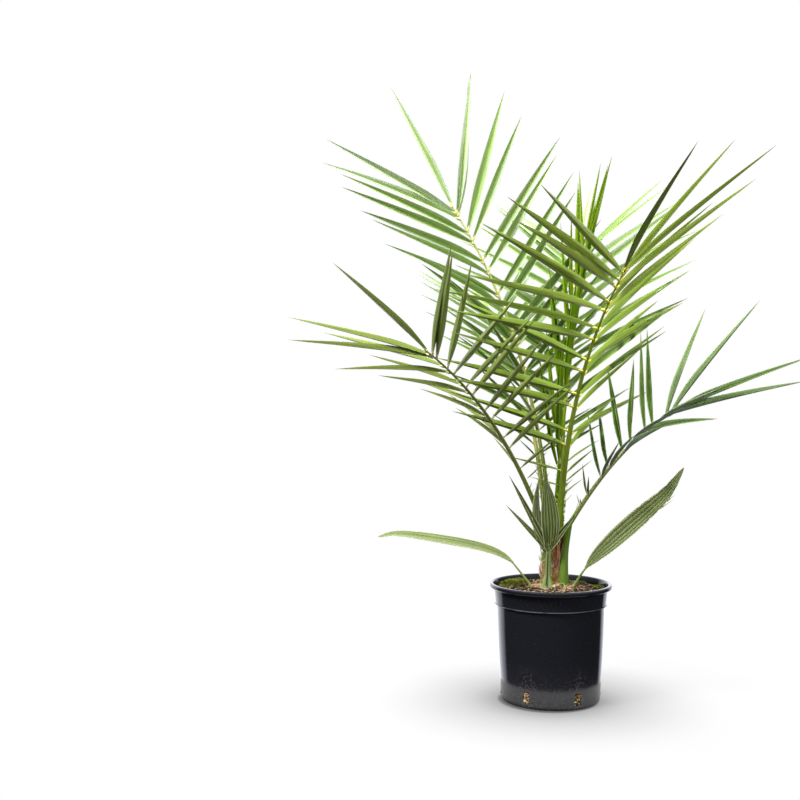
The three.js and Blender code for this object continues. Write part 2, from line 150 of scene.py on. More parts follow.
def addTube(heap, path, radii, finish=0, sides=6, flat=1.0):
    path = np.asarray(path, float)
    radii = np.broadcast_to(radii, len(path))
    along = unit(np.gradient(path, axis=0))
    side = unit(np.cross(along, np.where(abs(along[:, 2:]) > 0.9, [[1.0, 0, 0]], [up])))
    top = np.cross(side, along)
    angles = np.arange(sides) * math.tau / sides
    rings = path[:, None] + radii[:, None, None] * (
        np.cos(angles)[None, :, None] * side[:, None] + flat * np.sin(angles)[None, :, None] * top[:, None])
    addLoft(heap, rings, finish, along=reachAlong(path))


def makePiece(name, heap, materials, sharpAngle=42):
    points = np.concatenate(heap["points"]) * mm
    quads = np.concatenate(heap["quads"])
    mesh = bpy.data.meshes.new(name)
    mesh.from_pydata(points.tolist(), [], quads.tolist() + heap["caps"])
    for material in materials:
        mesh.materials.append(material)
    finish = np.concatenate([*heap["finish"], np.array(heap["capFinish"], int)])
    mesh.polygons.foreach_set("material_index", finish.astype(np.int32))
    layer = mesh.uv_layers.new(name="surfaceMap")
    places = np.zeros((len(mesh.loops), 2))
    flat = np.concatenate(heap["map"])
    places[:len(flat)] = flat
    layer.data.foreach_set("uv", places.astype(np.float32).ravel())
    mesh.shade_smooth()
    mesh.set_sharp_from_angle(angle=math.radians(sharpAngle))
    piece = bpy.data.objects.new(name, mesh)
    bpy.context.scene.collection.objects.link(piece)
    return piece


def dress(piece, slot, *nodes):
    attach(piece, "root")
    if nodes:
        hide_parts(*nodes)
    return piece


def linear(hexColour):
    channels = [int(hexColour[i:i + 2], 16) / 255 for i in (1, 3, 5)]
    return [c / 12.92 if c <= 0.04045 else ((c + 0.055) / 1.055) ** 2.4 for c in channels] + [1]


# Adds a node, sets its inputs or properties by name, and links its inputs. A source that is a
# node stands for its first output.
def addNode(tree, kind, settings=(), links=()):
    node = tree.nodes.new("ShaderNode" + kind)
    for name, value in dict(settings).items():
        if name == "stops":
            ramp = node.color_ramp.elements
            while len(ramp) < len(value):
                ramp.new(1)
            for element, (place, colour) in zip(ramp, value):
                element.position, element.color = place, colour
        elif isinstance(name, int) or name in node.inputs:
            node.inputs[name].default_value = value
        else:
            setattr(node, name, value)
    for name, source in dict(links).items():
        socket = source.outputs[0] if isinstance(source, bpy.types.Node) else source
        tree.links.new(socket, node.inputs[name])
    return node


# An empty material, its maker of nodes, and the place of each point, in metres.
def newMaterial(name):
    material = bpy.data.materials.new(name)
    material.use_nodes = True
    material.node_tree.nodes.clear()
    node = partial(addNode, material.node_tree)
    return material, node, node("TexCoord").outputs["Object"]


# Closes a material with its surface: plain settings, and inputs that other nodes give.
def closeSkin(material, node, settings, links):
    node("OutputMaterial", links={"Surface": node("BsdfPrincipled", settings, links)})
    return material


def grey(level):
    return (level, level, level, 1)


# Dry, dull matter: one colour with a little mottling.
def makeDryMatter(name, colour, rough=0.8, mottle=0.75, scale=120):
    material, node, place = newMaterial(name)
    patches = node("TexNoise", {"Scale": scale, "Detail": 3}, {"Vector": place})
    shade = node("MapRange", {"From Min": 0.3, "From Max": 0.7, "To Min": mottle, "To Max": 1.15},
                 {"Value": patches})
    tinted = node("MixRGB", {"blend_type": "MULTIPLY", "Fac": 1.0, "Color1": linear(colour)},
                  {"Color2": shade})
    bump = node("Bump", {"Strength": 0.4, "Distance": 0.0004}, {"Height": patches})
    return closeSkin(material, node, {"Roughness": rough, "Specular IOR Level": 0.3},
                     {"Base Color": tinted, "Normal": bump})


# Several kinds at once, from their names and colours.
def makeDryKinds(kinds, *finish):
    return [makeDryMatter(name, colour, *finish) for name, colour in kinds.items()]


studio = {
    "lens": 50,                    # mm, on a 36 mm wide sensor
    "distance": 1746,              # camera to the pot's axis
    "eyeHeight": 464,
    "turnLeft": 7.71,              # degrees, so that the plant stands right of the middle
    "nearFloor": 150,              # radius of the floor that shows in the pot's gloss
    "farFloor": 9000,
    "floorColour": "#a8a8a8",
    # the glowing floor's brightness at each radius, mm: a painted soft shade round the pot
    "shade": [(70, 0.03), (75, 0.14), (79, 0.42), (100, 0.56), (120, 0.67), (145, 0.76), (170, 0.83),
              (215, 0.94), (260, 1.0)],
    "shadeMiddle": (-4, -8),
    "shadeReach": 400,
    "mattShare": 0.22,             # share of the floor's look that takes real light and shadow
    # lamps: name, place and aim in metres, width in metres, watts
    "lamps": [
        ("keyLeft", (-1.4, -1.3, 2.6), (0, 0, 0.5), 0.8, 115),
        ("fillRight", (1.8, -1.6, 1.5), (0, 0, 0.5), 1.0, 28),
        ("overhead", (0.1, 0.2, 2.7), (0, 0, 0.3), 1.1, 85),
        ("backLeft", (-1.3, 1.9, 1.6), (0, 0, 0.6), 1.2, 20),
    ],
    "roomLight": 0.16,             # soft light from all round, and what the sky above adds
    "skyLight": 0.6,
    "roomGloss": 0.02,             # the same for what shows in gloss
    "skyGloss": 0.7,
    "wallGloss": 1.2,
    "wallGlossRise": (0.5, 1.8),   # the wall's gloss at its edge and at its middle
    "mirrorTint": (0.89, 0.91, 1.0, 1),
    "wallSide": (-0.16, 0.987, 0.0),   # the bright wall stands at the plant's back
    "wallEdge": 0.59,              # cosine of the angle from there to its edge
}


def makeCamera():
    camera = bpy.data.objects.new("camera", bpy.data.cameras.new("camera"))
    camera.data.lens = studio["lens"]
    camera.data.sensor_width = 36
    camera.location = (0, -studio["distance"] * mm, studio["eyeHeight"] * mm)
    camera.rotation_euler = (math.radians(90), 0, math.radians(studio["turnLeft"]))
    bpy.context.scene.collection.objects.link(camera)
    bpy.context.scene.camera = camera


# A light table: the floor glows plain white away from the pot, with a painted soft shade round it; near the
# pot a share of it is matt and takes real light and shadow.
def makeFloor():
    material, node, place = newMaterial("glowing studio floor with painted shade")
    x, y = studio["shadeMiddle"]
    shadeReach = studio["shadeReach"]
    centred = node("VectorMath", {"operation": "SUBTRACT", 1: (x * mm, y * mm, 0)}, {0: place})
    distance = node("VectorMath", {"operation": "LENGTH"}, {0: centred}).outputs["Value"]
    reach = node("MapRange", {"From Max": shadeReach * mm}, {"Value": distance})
    stops = [(radius / shadeReach, grey(level)) for radius, level in studio["shade"]]
    # the glow's painted shade, darker towards the pot
    shade = node("ValToRGB", {"stops": stops}, {"Fac": reach})
    table = node("Emission", {"Strength": 1.0}, {"Color": shade})
    matt = node("BsdfPrincipled", {
        "Base Color": linear(studio["floorColour"]), "Roughness": 0.9, "Specular IOR Level": 0.1})
    mattShare = node("MapRange", {
        "From Min": studio["shade"][-1][0] * mm, "From Max": shadeReach * mm,
        "To Min": studio["mattShare"], "To Max": 0.0}, {"Value": distance})
    mixed = node("MixShader", links={0: mattShare, 1: table, 2: matt})
    node("OutputMaterial", links={"Surface": mixed})
    circle = np.array([spoke(angle) for angle in roundAngles(96)])
    for name, inner, outer in (("studioFloorNear", 1, studio["nearFloor"]),
                               ("studioFloorFar", studio["nearFloor"], studio["farFloor"])):
        heap = newHeap()
        isNear = inner == 1
        addLoft(heap, [circle * outer, circle * inner], caps=(False, isNear))
        floor = makePiece(name, heap, [material])
        floor.visible_glossy = isNear      # the pot's gloss mirrors the near floor only
        floor.visible_diffuse = isNear
        floor.visible_transmission = isNear


def addSoftbox(name, place, aim, size, watts):
    light = bpy.data.objects.new(name, bpy.data.lights.new(name, "AREA"))
    light.data.size = size
    light.data.energy = watts
    light.visible_glossy = False       # gloss mirrors the room, not the lamps
    light.location = place
    light.rotation_euler = (Vector(aim) - Vector(place)).to_track_quat("-Z", "Y").to_euler()
    bpy.context.scene.collection.objects.link(light)


def makeLight():
    for lamp in studio["lamps"]:
        addSoftbox(*lamp)
    world = bpy.data.worlds.new("pale studio")
    world.use_nodes = True
    bpy.context.scene.world = world
    world.node_tree.nodes.clear()
    node = partial(addNode, world.node_tree)
    # The view gets an even white. Light and gloss get a dim room with a bright wall and sky.
    direction = node("TexCoord").outputs["Generated"]
    height = node("SeparateXYZ", links={"Vector": direction}).outputs["Z"]
    backward = node("VectorMath", {"operation": "DOT_PRODUCT", 1: studio["wallSide"]},
                    {0: direction}).outputs["Value"]
    sky = node("MapRange", {"From Min": 0.1, "From Max": 0.8}, {"Value": height})
    edge, softEdge = studio["wallEdge"], 0.015
    wall = node("MapRange", {"From Min": edge - softEdge, "From Max": edge + softEdge},
                {"Value": backward})
    low, high = studio["wallGlossRise"]
    rise = node("MapRange", {"From Min": edge, "From Max": 1.0, "To Min": low, "To Max": high},
                {"Value": backward})
    risingWall = node("Math", {"operation": "MULTIPLY"}, {0: wall, 1: rise})

    def room(base, wallLevel, wallShare, skyShare, tint):
        fromWall = node("Math", {"operation": "MULTIPLY_ADD", 1: wallShare, 2: base}, {0: wallLevel})
        level = node("Math", {"operation": "MULTIPLY_ADD", 1: skyShare}, {0: sky, 2: fromWall})
        return node("Background", {"Color": tint}, {"Strength": level})

    lit = room(studio["roomLight"], wall, studio["skyLight"] * 0.8, studio["skyLight"], grey(1.0))
    mirrored = room(studio["roomGloss"], risingWall, studio["wallGloss"], studio["skyGloss"],
                    studio["mirrorTint"])
    seen = node("Background", {"Color": grey(1.0), "Strength": 1.0})
    rays = node("LightPath").outputs
    indoors = node("MixShader", links={0: rays["Is Glossy Ray"], 1: lit, 2: mirrored})
    shown = node("MixShader", links={0: rays["Is Camera Ray"], 1: indoors, 2: seen})
    node("OutputWorld", links={"Surface": shown})
    bpy.context.scene.view_settings.view_transform = "Standard"


makeCamera()
makeFloor()
makeLight()
print("studio ready")


potShape = {
    "rimRadius": potHigh[0], "height": potHigh[2],
    "lipHeight": 7, "lipInside": 6, "wall": 2, "floor": 3,
    "bandRadius": 88.6, "bandFootRadius": 86, "bandFoot": 148, "wallTopRadius": 83.2,
    "bead": 0.5,                   # how far the bead at the band's foot stands out; its pale colour is a painted highlight
    "footRadius": 76, "footCorner": 5, "bulge": 0.9,
    "footRing": 9, "recess": 1.4,  # the underside stands on a ring this wide
    "segments": 168,
}
potFinish = {
    "colour": "#1d1e24", "rough": 0.13,
    "dust": "#8d8781", "dustRough": 0.5, "dustShare": 0.5,
    "dustFrom": 0.014, "dustTo": 0.07,     # heights in metres between which the dust thins out
    "smearScale": 260, "speckScale": 900,  # smears some 4 mm long and specks of 1 mm
    "ripple": 25,                          # mm, length of the soft waves that the mould leaves
    # pale colour of the bead at the band's foot: a painted highlight
    "worn": "#737378",
}
slots = {
    "count": 6, "firstAngle": -118, "width": 10, "foot": 6.5, "height": 19,
    "corner": 1.6, "narrowing": 0.6,
    "crumbs": 90, "roots": 26,             # what presses out of each
    "kinds": {"slot compost, black": "#1b130c", "slot compost, brown": "#5d3f25",
              "slot root, tan": "#a87f52", "slot root, cream": "#d9c29b"},
}


# Rounds the corners of a profile. Each corner is (radius, height, fillet).
def rounded(corners, steps=5):
    points = [np.array(c[:2], float) for c in corners]
    made = [points[0]]
    for i in range(1, len(points) - 1):
        corner = points[i]
        fillet = corners[i][2] if len(corners[i]) > 2 else 0
        back, ahead = points[i - 1] - corner, points[i + 1] - corner
        reach = min(fillet, np.linalg.norm(back) * 0.49, np.linalg.norm(ahead) * 0.49)
        if reach < 0.05:
            made.append(corner)
            continue
        start, end = corner + unit(back) * reach, corner + unit(ahead) * reach
        for share in np.linspace(0, 1, steps + 1):
            made.append((1 - share) ** 2 * start + 2 * share * (1 - share) * corner + share ** 2 * end)
    made.append(points[-1])
    return np.array(made)


def wallRadius(height):
    p = potShape
    share = np.clip((height - p["footCorner"]) / (p["bandFoot"] - 1 - p["footCorner"]), 0, 1)
    return lerp(p["footRadius"], p["wallTopRadius"], share) + p["bulge"] * np.sin(np.pi * share)


# Corners of the section, as radius, height and fillet, from under the pot up, over the rim and
# down inside.
def potProfile():
    p = potShape
    top, foot, wall, rim = p["height"], p["bandFoot"], p["wall"], p["rimRadius"]
    lipFoot = top - p["lipHeight"]
    ring = p["footRadius"] - p["footRing"]
    band = p["bandFootRadius"]
    heights = np.linspace(p["footCorner"] + 4, foot - 3, 12)
    outside = [(0.5, p["recess"]), (ring - 2, p["recess"], 1), (ring, 0, 0.8)]
    outside += [(p["footRadius"], 0, p["footCorner"])]
    outside += [(wallRadius(h), h, 2) for h in heights]
    outside += [
        (p["wallTopRadius"], foot - 1.3, 0.3),
        (band + p["bead"], foot - 0.2, 0.3), (band + p["bead"], foot + 0.3, 0.3),
        (band + 0.1, foot + 0.8, 0.2), (band + 0.1, foot + 3, 1), (p["bandRadius"], lipFoot, 1.2),
        (rim - 1.2, lipFoot - 0.1, 1.0), (rim, lipFoot + 1.6, 1.4),
        (rim, top - 1.8, 1.6), (rim - 2, top, 1.6), (rim - p["lipInside"], top - 0.3, 2.2)]
    inside = [(p["bandRadius"] - wall, lipFoot - 2, 3), (band - wall, foot + 1, 1)]
    inside += [(wallRadius(h) - wall, h, 2) for h in heights[::-1]]
    inside += [(p["footRadius"] - wall - 0.5, p["floor"], 3), (0.5, p["floor"])]
    return rounded(outside + inside)


# Injection-moulded polypropylene: near-black with a bluish cast, semi-gloss, with dried water
# marks and dust that thicken towards the foot.
def makePolypropylene():
    look = potFinish
    material, node, place = newMaterial("moulded polypropylene, black")
    height = node("SeparateXYZ", links={"Vector": place}).outputs["Z"]
    low = node("MapRange", {"From Min": look["dustTo"], "From Max": look["dustFrom"]}, {"Value": height})
    # how near the surface is to the line above a slot, round the pot
    slotTurn = math.radians(-slots["firstAngle"])
    turned = node("Mapping", {"Rotation": (0, 0, slotTurn)}, {"Vector": place})
    bearing = node("TexGradient", {"gradient_type": "RADIAL"}, {"Vector": turned}).outputs["Fac"]
    offSlot = node("Math", {"operation": "PINGPONG", 1: 0.5 / slots["count"]}, {0: bearing})
    nearSlot = node("MapRange", {"From Min": 0.035, "From Max": 0.0, "To Min": 0.3, "To Max": 1.0},
                    {"Value": offSlot})
    smears = node("TexNoise", {"Scale": look["smearScale"], "Detail": 5, "Roughness": 0.75},
                  {"Vector": place})
    smearMask = node("ValToRGB", {"stops": [(0.47, grey(0)), (0.66, grey(1))]}, {"Fac": smears})
    lowNearSlot = node("Math", {"operation": "MULTIPLY"}, {0: nearSlot, 1: low})
    dustLow = node("Math", {"operation": "MULTIPLY"}, {0: smearMask, 1: lowNearSlot})
    specks = node("TexNoise", {"Scale": look["speckScale"], "Detail": 1}, {"Vector": place})
    speckMask = node("ValToRGB", {"stops": [(0.7, grey(0)), (0.76, grey(0.3))]}, {"Fac": specks})
    dust = node("Math", {"operation": "MAXIMUM"}, {0: dustLow, 1: speckMask})
    dustShare = node("Math", {"operation": "MULTIPLY", 1: look["dustShare"]}, {0: dust})
    colour = node("MixRGB", {"Color1": linear(look["colour"]), "Color2": linear(look["dust"])},
                  {"Fac": dustShare})
    rough = node("MapRange", {"From Max": 0.35, "To Min": look["rough"], "To Max": look["dustRough"]},
                 {"Value": dustShare})
    ripple = node("TexNoise", {"Scale": 1 / (look["ripple"] * mm), "Detail": 2}, {"Vector": place})
    bump = node("Bump", {"Strength": 0.12, "Distance": 0.0006}, {"Height": ripple})
    return closeSkin(material, node, {"IOR": 1.49, "Specular IOR Level": 1.0},
                     {"Base Color": colour, "Roughness": rough, "Normal": bump})


# Each drainage slot's number, its outward arm and its sideways arm.
def slotSides():
    for i in range(slots["count"]):
        outward = spoke(math.radians(slots["firstAngle"] + 360 / slots["count"] * i))
        yield i, outward, np.cross(up, outward)


def cutSlots(pot):
    heap = newHeap()
    corner, halfHigh = slots["corner"], slots["height"] / 2
    for _, outward, side in slotSides():
        ring = []
        for quarter, (cx, cz) in enumerate(((1, 1), (-1, 1), (-1, -1), (1, -1))):
            half = slots["width"] / 2 - (slots["narrowing"] if cz < 0 else 0)
            for turn in np.radians(90 * quarter + 22.5 * np.arange(5)):
                x = cx * (half - corner) + corner * math.cos(turn)
                z = cz * (halfHigh - corner) + corner * math.sin(turn)
                ring.append(side * x + up * (slots["foot"] + halfHigh + z))
        ring = np.array(ring)
        addLoft(heap, [ring + outward * (potShape["footRadius"] + reach) for reach in (8, -8)])
    cutter = makePiece("slotCutter", heap, [])
    cut = pot.modifiers.new("slots", "BOOLEAN")
    cut.operation, cut.solver, cut.object = "DIFFERENCE", "EXACT", cutter
    shaped = bpy.data.meshes.new_from_object(pot.evaluated_get(bpy.context.evaluated_depsgraph_get()))
    pot.modifiers.clear()
    pot.data = shaped
    shaped.shade_smooth()
    shaped.set_sharp_from_angle(angle=math.radians(38))
    bpy.data.objects.remove(cutter)


def makePot():
    heap = newHeap()
    profile = potProfile()
    edge = (profile[1:] + profile[:-1]) / 2            # the bead is painted pale as a highlight
    isBead = (edge[:, 0] > potShape["bandFootRadius"] + 0.2) & (abs(edge[:, 1] - potShape["bandFoot"]) < 0.7)
    turns = roundAngles(potShape["segments"])
    rings = np.stack([np.outer(profile[:, 0], np.cos(turns)), np.outer(profile[:, 0], np.sin(turns)),
                      np.repeat(profile[:, 1, None], len(turns), 1)], 2)
    addLoft(heap, rings, isBead.astype(int)[:, None], along=reachAlong(profile))
    # the pale colour on the bead is a painted highlight
    worn = makeDryMatter("moulded polypropylene, bead with painted highlight", potFinish["worn"], 0.5, 0.2, 110)
    pot = makePiece("potShell", heap, [makePolypropylene(), worn])
    cutSlots(pot)
    dress(pot, "pot", "pot")


makePot()
print("pot ready")


soilShape = {
    "edgeDrop": 3, "mound": 5, "moundRadius": 40,      # the soil is heaped round the stem
    "bank": (-60, 34, 4.0, 34),                        # and at the left: x, y, height and reach
    "crumbs": 4200, "crumbSize": (0.5, 2.1),
    "chips": 90, "chipSize": (3, 8),
    "compost": ("#120c08", "#463829"), "compostScale": 300,
    "crumbKinds": {"bark crumb, dark": "#2f1f14", "bark crumb, fox brown": "#593f30",
                   "wood fibre, straw": "#bba07a"},
    "strands": 130, "strandLength": (14, 46), "strandRadius": 0.36,
    "rootKinds": {"dead root, straw": "#c4ad86", "dead root, tan": "#86684c", "live root, cream": "#d9c8a2"},
    "mossTufts": 900, "mossLeaf": (2.4, 5.0), "tuftLeaves": 7,
    # moss patches: middle x, y and half sizes, and how often each gets a tuft
    "mossPatches": [(-60, 34, 22, 28), (76, 22, 8, 15), (-70, 2, 9, 14), (44, 60, 14, 9)],
    "patchWeights": (10, 5, 3, 3),
    "mossKinds": {"moss, yellow green": "#98a03a", "moss, leaf green": "#5f7420"},
    "dryMossKinds": {"moss, dry olive": "#6c6434"},
}


def soilRadius():
    p = potShape
    share = (soilTop - soilShape["edgeDrop"] - p["bandFoot"]) / (p["height"] - p["lipHeight"] - p["bandFoot"])
    return lerp(p["bandFootRadius"], p["bandRadius"], share) - p["wall"] - 0.2


def soilHeight(x, y):
    s = soilShape
    out = np.hypot(x, y) / soilRadius()
    near = np.exp(-((x - stemMiddle[0]) ** 2 + (y - stemMiddle[1] + 8) ** 2) / s["moundRadius"] ** 2)
    uneven = lumps(x / 17, y / 17, 3.1) * 2.2 + lumps(x / 5, y / 5, 8.7) * 1.1
    bankX, bankY, bankHeight, bankReach = s["bank"]
    bank = bankHeight * np.exp(-((x - bankX) ** 2 + (y - bankY) ** 2) / bankReach ** 2)
    level = soilTop - s["edgeDrop"] * (0.4 + smooth((out - 0.7) / 0.3))
    return level + s["mound"] * near + bank + uneven


# Peat compost: dark, crumbly and matt, with lighter fibre in it.
def makeCompost(name, dark, light, scale):
    material, node, place = newMaterial(name)
    grain = node("TexNoise", {"Scale": scale, "Detail": 8, "Roughness": 0.7}, {"Vector": place})
    mix = node("ValToRGB", {"stops": [(0.38, linear(dark)), (0.68, linear(light))]}, {"Fac": grain})
    bump = node("Bump", {"Strength": 0.9, "Distance": 0.0012}, {"Height": grain})
    return closeSkin(material, node, {"Roughness": 0.92, "Specular IOR Level": 0.25},
                     {"Base Color": mix, "Normal": bump})


# A crumb is a five-sided lump, squeezed and turned at random.
def addCrumb(heap, place, size, dice, finish, flat=0.8, long=1.0):
    turn, lean = dice.uniform(0, math.tau), dice.uniform(-0.5, 0.5)
    ahead = spoke(turn) * math.cos(lean) + up * math.sin(lean)
    side = unit(np.cross(up, ahead))
    top = np.cross(ahead, side)
    rings = []
    for level, spread in ((-1, 0.45), (-0.35, 1.0), (0.4, 0.9), (1, 0.35)):
        ring = []
        for k in range(5):
            angle = math.tau * k / 5 + level
            reach = size * (dice.uniform(0.75, 1.15) * spread)
            ring.append(place + ahead * level * size * long
                        + side * math.cos(angle) * reach + top * math.sin(angle) * reach * flat)
        rings.append(ring)
    addLoft(heap, rings, finish)


def onSoil(dice, reach=0.97):
    angle, out = dice.uniform(0, math.tau), math.sqrt(dice.random()) * soilRadius() * reach
    return out * math.cos(angle), out * math.sin(angle)


def above(x, y, lift):
    return np.array([x, y, soilHeight(x, y) + lift])


def makeSoil():
    s = soilShape
    heap = newHeap()
    edge = soilRadius()
    outs = [*np.linspace(1, edge - 4, 54), edge - 2, edge]
    angles = roundAngles(168)
    rings = [[(r * math.cos(a), r * math.sin(a), soilHeight(r * math.cos(a), r * math.sin(a)))
              for a in angles] for r in outs]
    for height in np.linspace(potShape["bandFoot"] + 1.4, potShape["floor"] + 4, 14):
        inner = wallRadius(height) - potShape["wall"] - 1
        rings.append([spoke(a) * (inner + 0.5 * lumps(a * 9, height / 6, 1)) + up * height for a in angles])
    addLoft(heap, np.array(rings)[::-1])
    compost = makeCompost("peat compost, dark", *s["compost"], s["compostScale"])
    dress(makePiece("soilPlug", heap, [compost]), "soil", "soil")

    dice = random.Random(11)
    crumbs = newHeap()
    for _ in range(s["crumbs"]):
        x, y = onSoil(dice)
        size = lerp(*s["crumbSize"], dice.random() ** 2.2)
        addCrumb(crumbs, above(x, y, size * 0.2), size, dice, dice.choices((0, 1, 2, 3), (7, 4, 2, 1))[0])
    for _ in range(s["chips"]):
        x, y = onSoil(dice, 0.95)
        size = lerp(*s["chipSize"], dice.random() ** 1.6) / 2
        addCrumb(crumbs, above(x, y, 1), size * 0.42, dice, dice.choices((1, 2, 3), (5, 3, 1))[0], 0.45, 2.2)
    kinds = [compost] + makeDryKinds(s["crumbKinds"])
    dress(makePiece("compostCrumbs", crumbs, kinds, 30), "soil")

    roots = newHeap()
    for i in range(s["strands"]):
        if i % 2 == 0:                 # every other one lies by the stem
            angle, out = dice.uniform(0, math.tau), dice.uniform(16, 44)
            x, y = stemMiddle[0] + out * math.cos(angle), stemMiddle[1] - 6 + out * math.sin(angle)
        else:
            x, y = onSoil(dice, 0.93)
        length, turn = dice.uniform(*s["strandLength"]), dice.uniform(0, math.tau)
        bend = dice.uniform(-2.2, 2.2)
        path = []
        for k in range(9):
            share = k / 8
            if math.hypot(x, y) > soilRadius() - 2:
                break
            lift = 1.0 + 5 * math.sin(math.pi * share) * (i % 4 == 0)
            path.append(above(x, y, lift))
            x += math.cos(turn + bend * share) * length / 8
            y += math.sin(turn + bend * share) * length / 8
        if len(path) > 3:
            width = s["strandRadius"] * dice.uniform(0.6, 1.7) * np.linspace(1.2, 0.5, len(path))
            addTube(roots, path, width, dice.choices((0, 1, 2), (5, 3, 2))[0], 5)
    dress(makePiece("surfaceRoots", roots, makeDryKinds(s["rootKinds"])), "soil")

    moss = newHeap()
    for _ in range(s["mossTufts"]):
        mx, my, wide, deep = dice.choices(s["mossPatches"], s["patchWeights"])[0]
        x, y = dice.gauss(mx, wide / 2.2), dice.gauss(my, deep / 2.2)
        if math.hypot(x, y) > soilRadius() - 1:
            continue
        base = above(x, y, -0.3)
        for _ in range(s["tuftLeaves"]):
            turn, lean = dice.uniform(0, math.tau), dice.uniform(0.25, 1.2)
            ahead = spoke(turn) * math.sin(lean) + up * math.cos(lean)
            length = dice.uniform(*s["mossLeaf"])
            side = unit(np.cross(ahead, up)) * length * 0.16
            thick = np.cross(side, ahead) * 0.35
            ring = np.array([side, thick, -side, -thick])
            addLoft(moss, [base + ring * 0.6, base + ahead * length * 0.55 + ring,
                           base + ahead * length + ring * 0.12], dice.choices((0, 1, 2), (4, 4, 2))[0])
    kinds = makeDryKinds(s["mossKinds"], 0.7) + makeDryKinds(s["dryMossKinds"])
    dress(makePiece("moss", moss, kinds), "soil")


# Fine roots and compost press out of the drainage slots.
def makeSlotRoots():
    dice = random.Random(5)
    heap = newHeap()
    halfWide, halfHigh = slots["width"] / 2 + 0.2, slots["height"] / 2 - 0.2
    for i, outward, side in slotSides():
        middle = outward * (potShape["footRadius"] - 1.2) + up * (slots["foot"] + slots["height"] / 2)
        pale = 0.75 if i % 2 == 0 else 0.35
        for _ in range(slots["crumbs"]):
            spot = middle + side * dice.uniform(-halfWide, halfWide) + up * dice.uniform(-halfHigh, halfHigh)
            spot = spot + outward * dice.uniform(-1.4, 1.4)
            size = dice.uniform(0.6, 1.8)
            addCrumb(heap, spot, size, dice, 3 if dice.random() < pale * 0.4 else dice.choice((0, 1, 2)))
        for _ in range(slots["roots"]):
            spot = middle + side * dice.uniform(-halfWide, halfWide)
            spot = spot + up * dice.uniform(-halfHigh, halfHigh) * 0.8
            turn = dice.uniform(0, math.tau)
            path = [spot + outward * (1.6 * math.sin(math.pi * k / 6) - 0.4)
                    + side * 2.2 * math.cos(turn + k * 0.7) * k / 6
                    + up * 3.2 * math.sin(turn + k * 0.6) * k / 6 for k in range(7)]
            addTube(heap, path, dice.uniform(0.3, 0.6), 3 if dice.random() < pale else 2, 5)
    dress(makePiece("slotRoots", heap, makeDryKinds(slots["kinds"])), "soil")


makeSoil()
makeSlotRoots()
print("soil ready")


# Living palm leaf: a waxy skin over fine ribs that run the length of the blade. The wax gives
# a satin gloss, and the ribs streak the colour lengthwise. Ribs are about 0.5 mm apart and are drawn
# 2.4 mm apart so that they show.
leafSkin = {"ribSpacing": 2.4, "streak": 80, "patch": 45}


def makeLeaf(name, colour, rough, dark=0.8, spec=0.5):
    material, node, place = newMaterial(name)
    spread = node("UVMap", {"uv_map": "surfaceMap"})
    ribPlace = node("Mapping", {"Scale": (1 / leafSkin["ribSpacing"], 1 / leafSkin["streak"], 1)},
                    {"Vector": spread})
    ribs = node("TexNoise", {"noise_dimensions": "2D", "Scale": 1, "Detail": 2, "Roughness": 0.6},
                {"Vector": ribPlace})
    patches = node("TexNoise", {"Scale": 1000 / leafSkin["patch"], "Detail": 3}, {"Vector": place})
    shade = node("MapRange", {"From Min": 0.3, "From Max": 0.7, "To Min": dark, "To Max": 1.12},
                 {"Value": ribs})
    streaked = node("MixRGB", {"blend_type": "MULTIPLY", "Fac": 1.0, "Color1": linear(colour)},
                    {"Color2": shade})
    warm = node("MapRange", {"From Min": 0.45, "From Max": 0.75, "To Max": 0.3}, {"Value": patches})
    mottled = node("MixRGB", {"blend_type": "MULTIPLY", "Color2": linear("#f4e6a4")},
                   {"Fac": warm, "Color1": streaked})
    gloss = node("MapRange", {
        "From Min": 0.3, "From Max": 0.7, "To Min": rough - 0.08, "To Max": rough + 0.1}, {"Value": patches})
    return closeSkin(material, node, {"IOR": 1.45, "Specular IOR Level": spec},
                     {"Base Color": mottled, "Roughness": gloss})
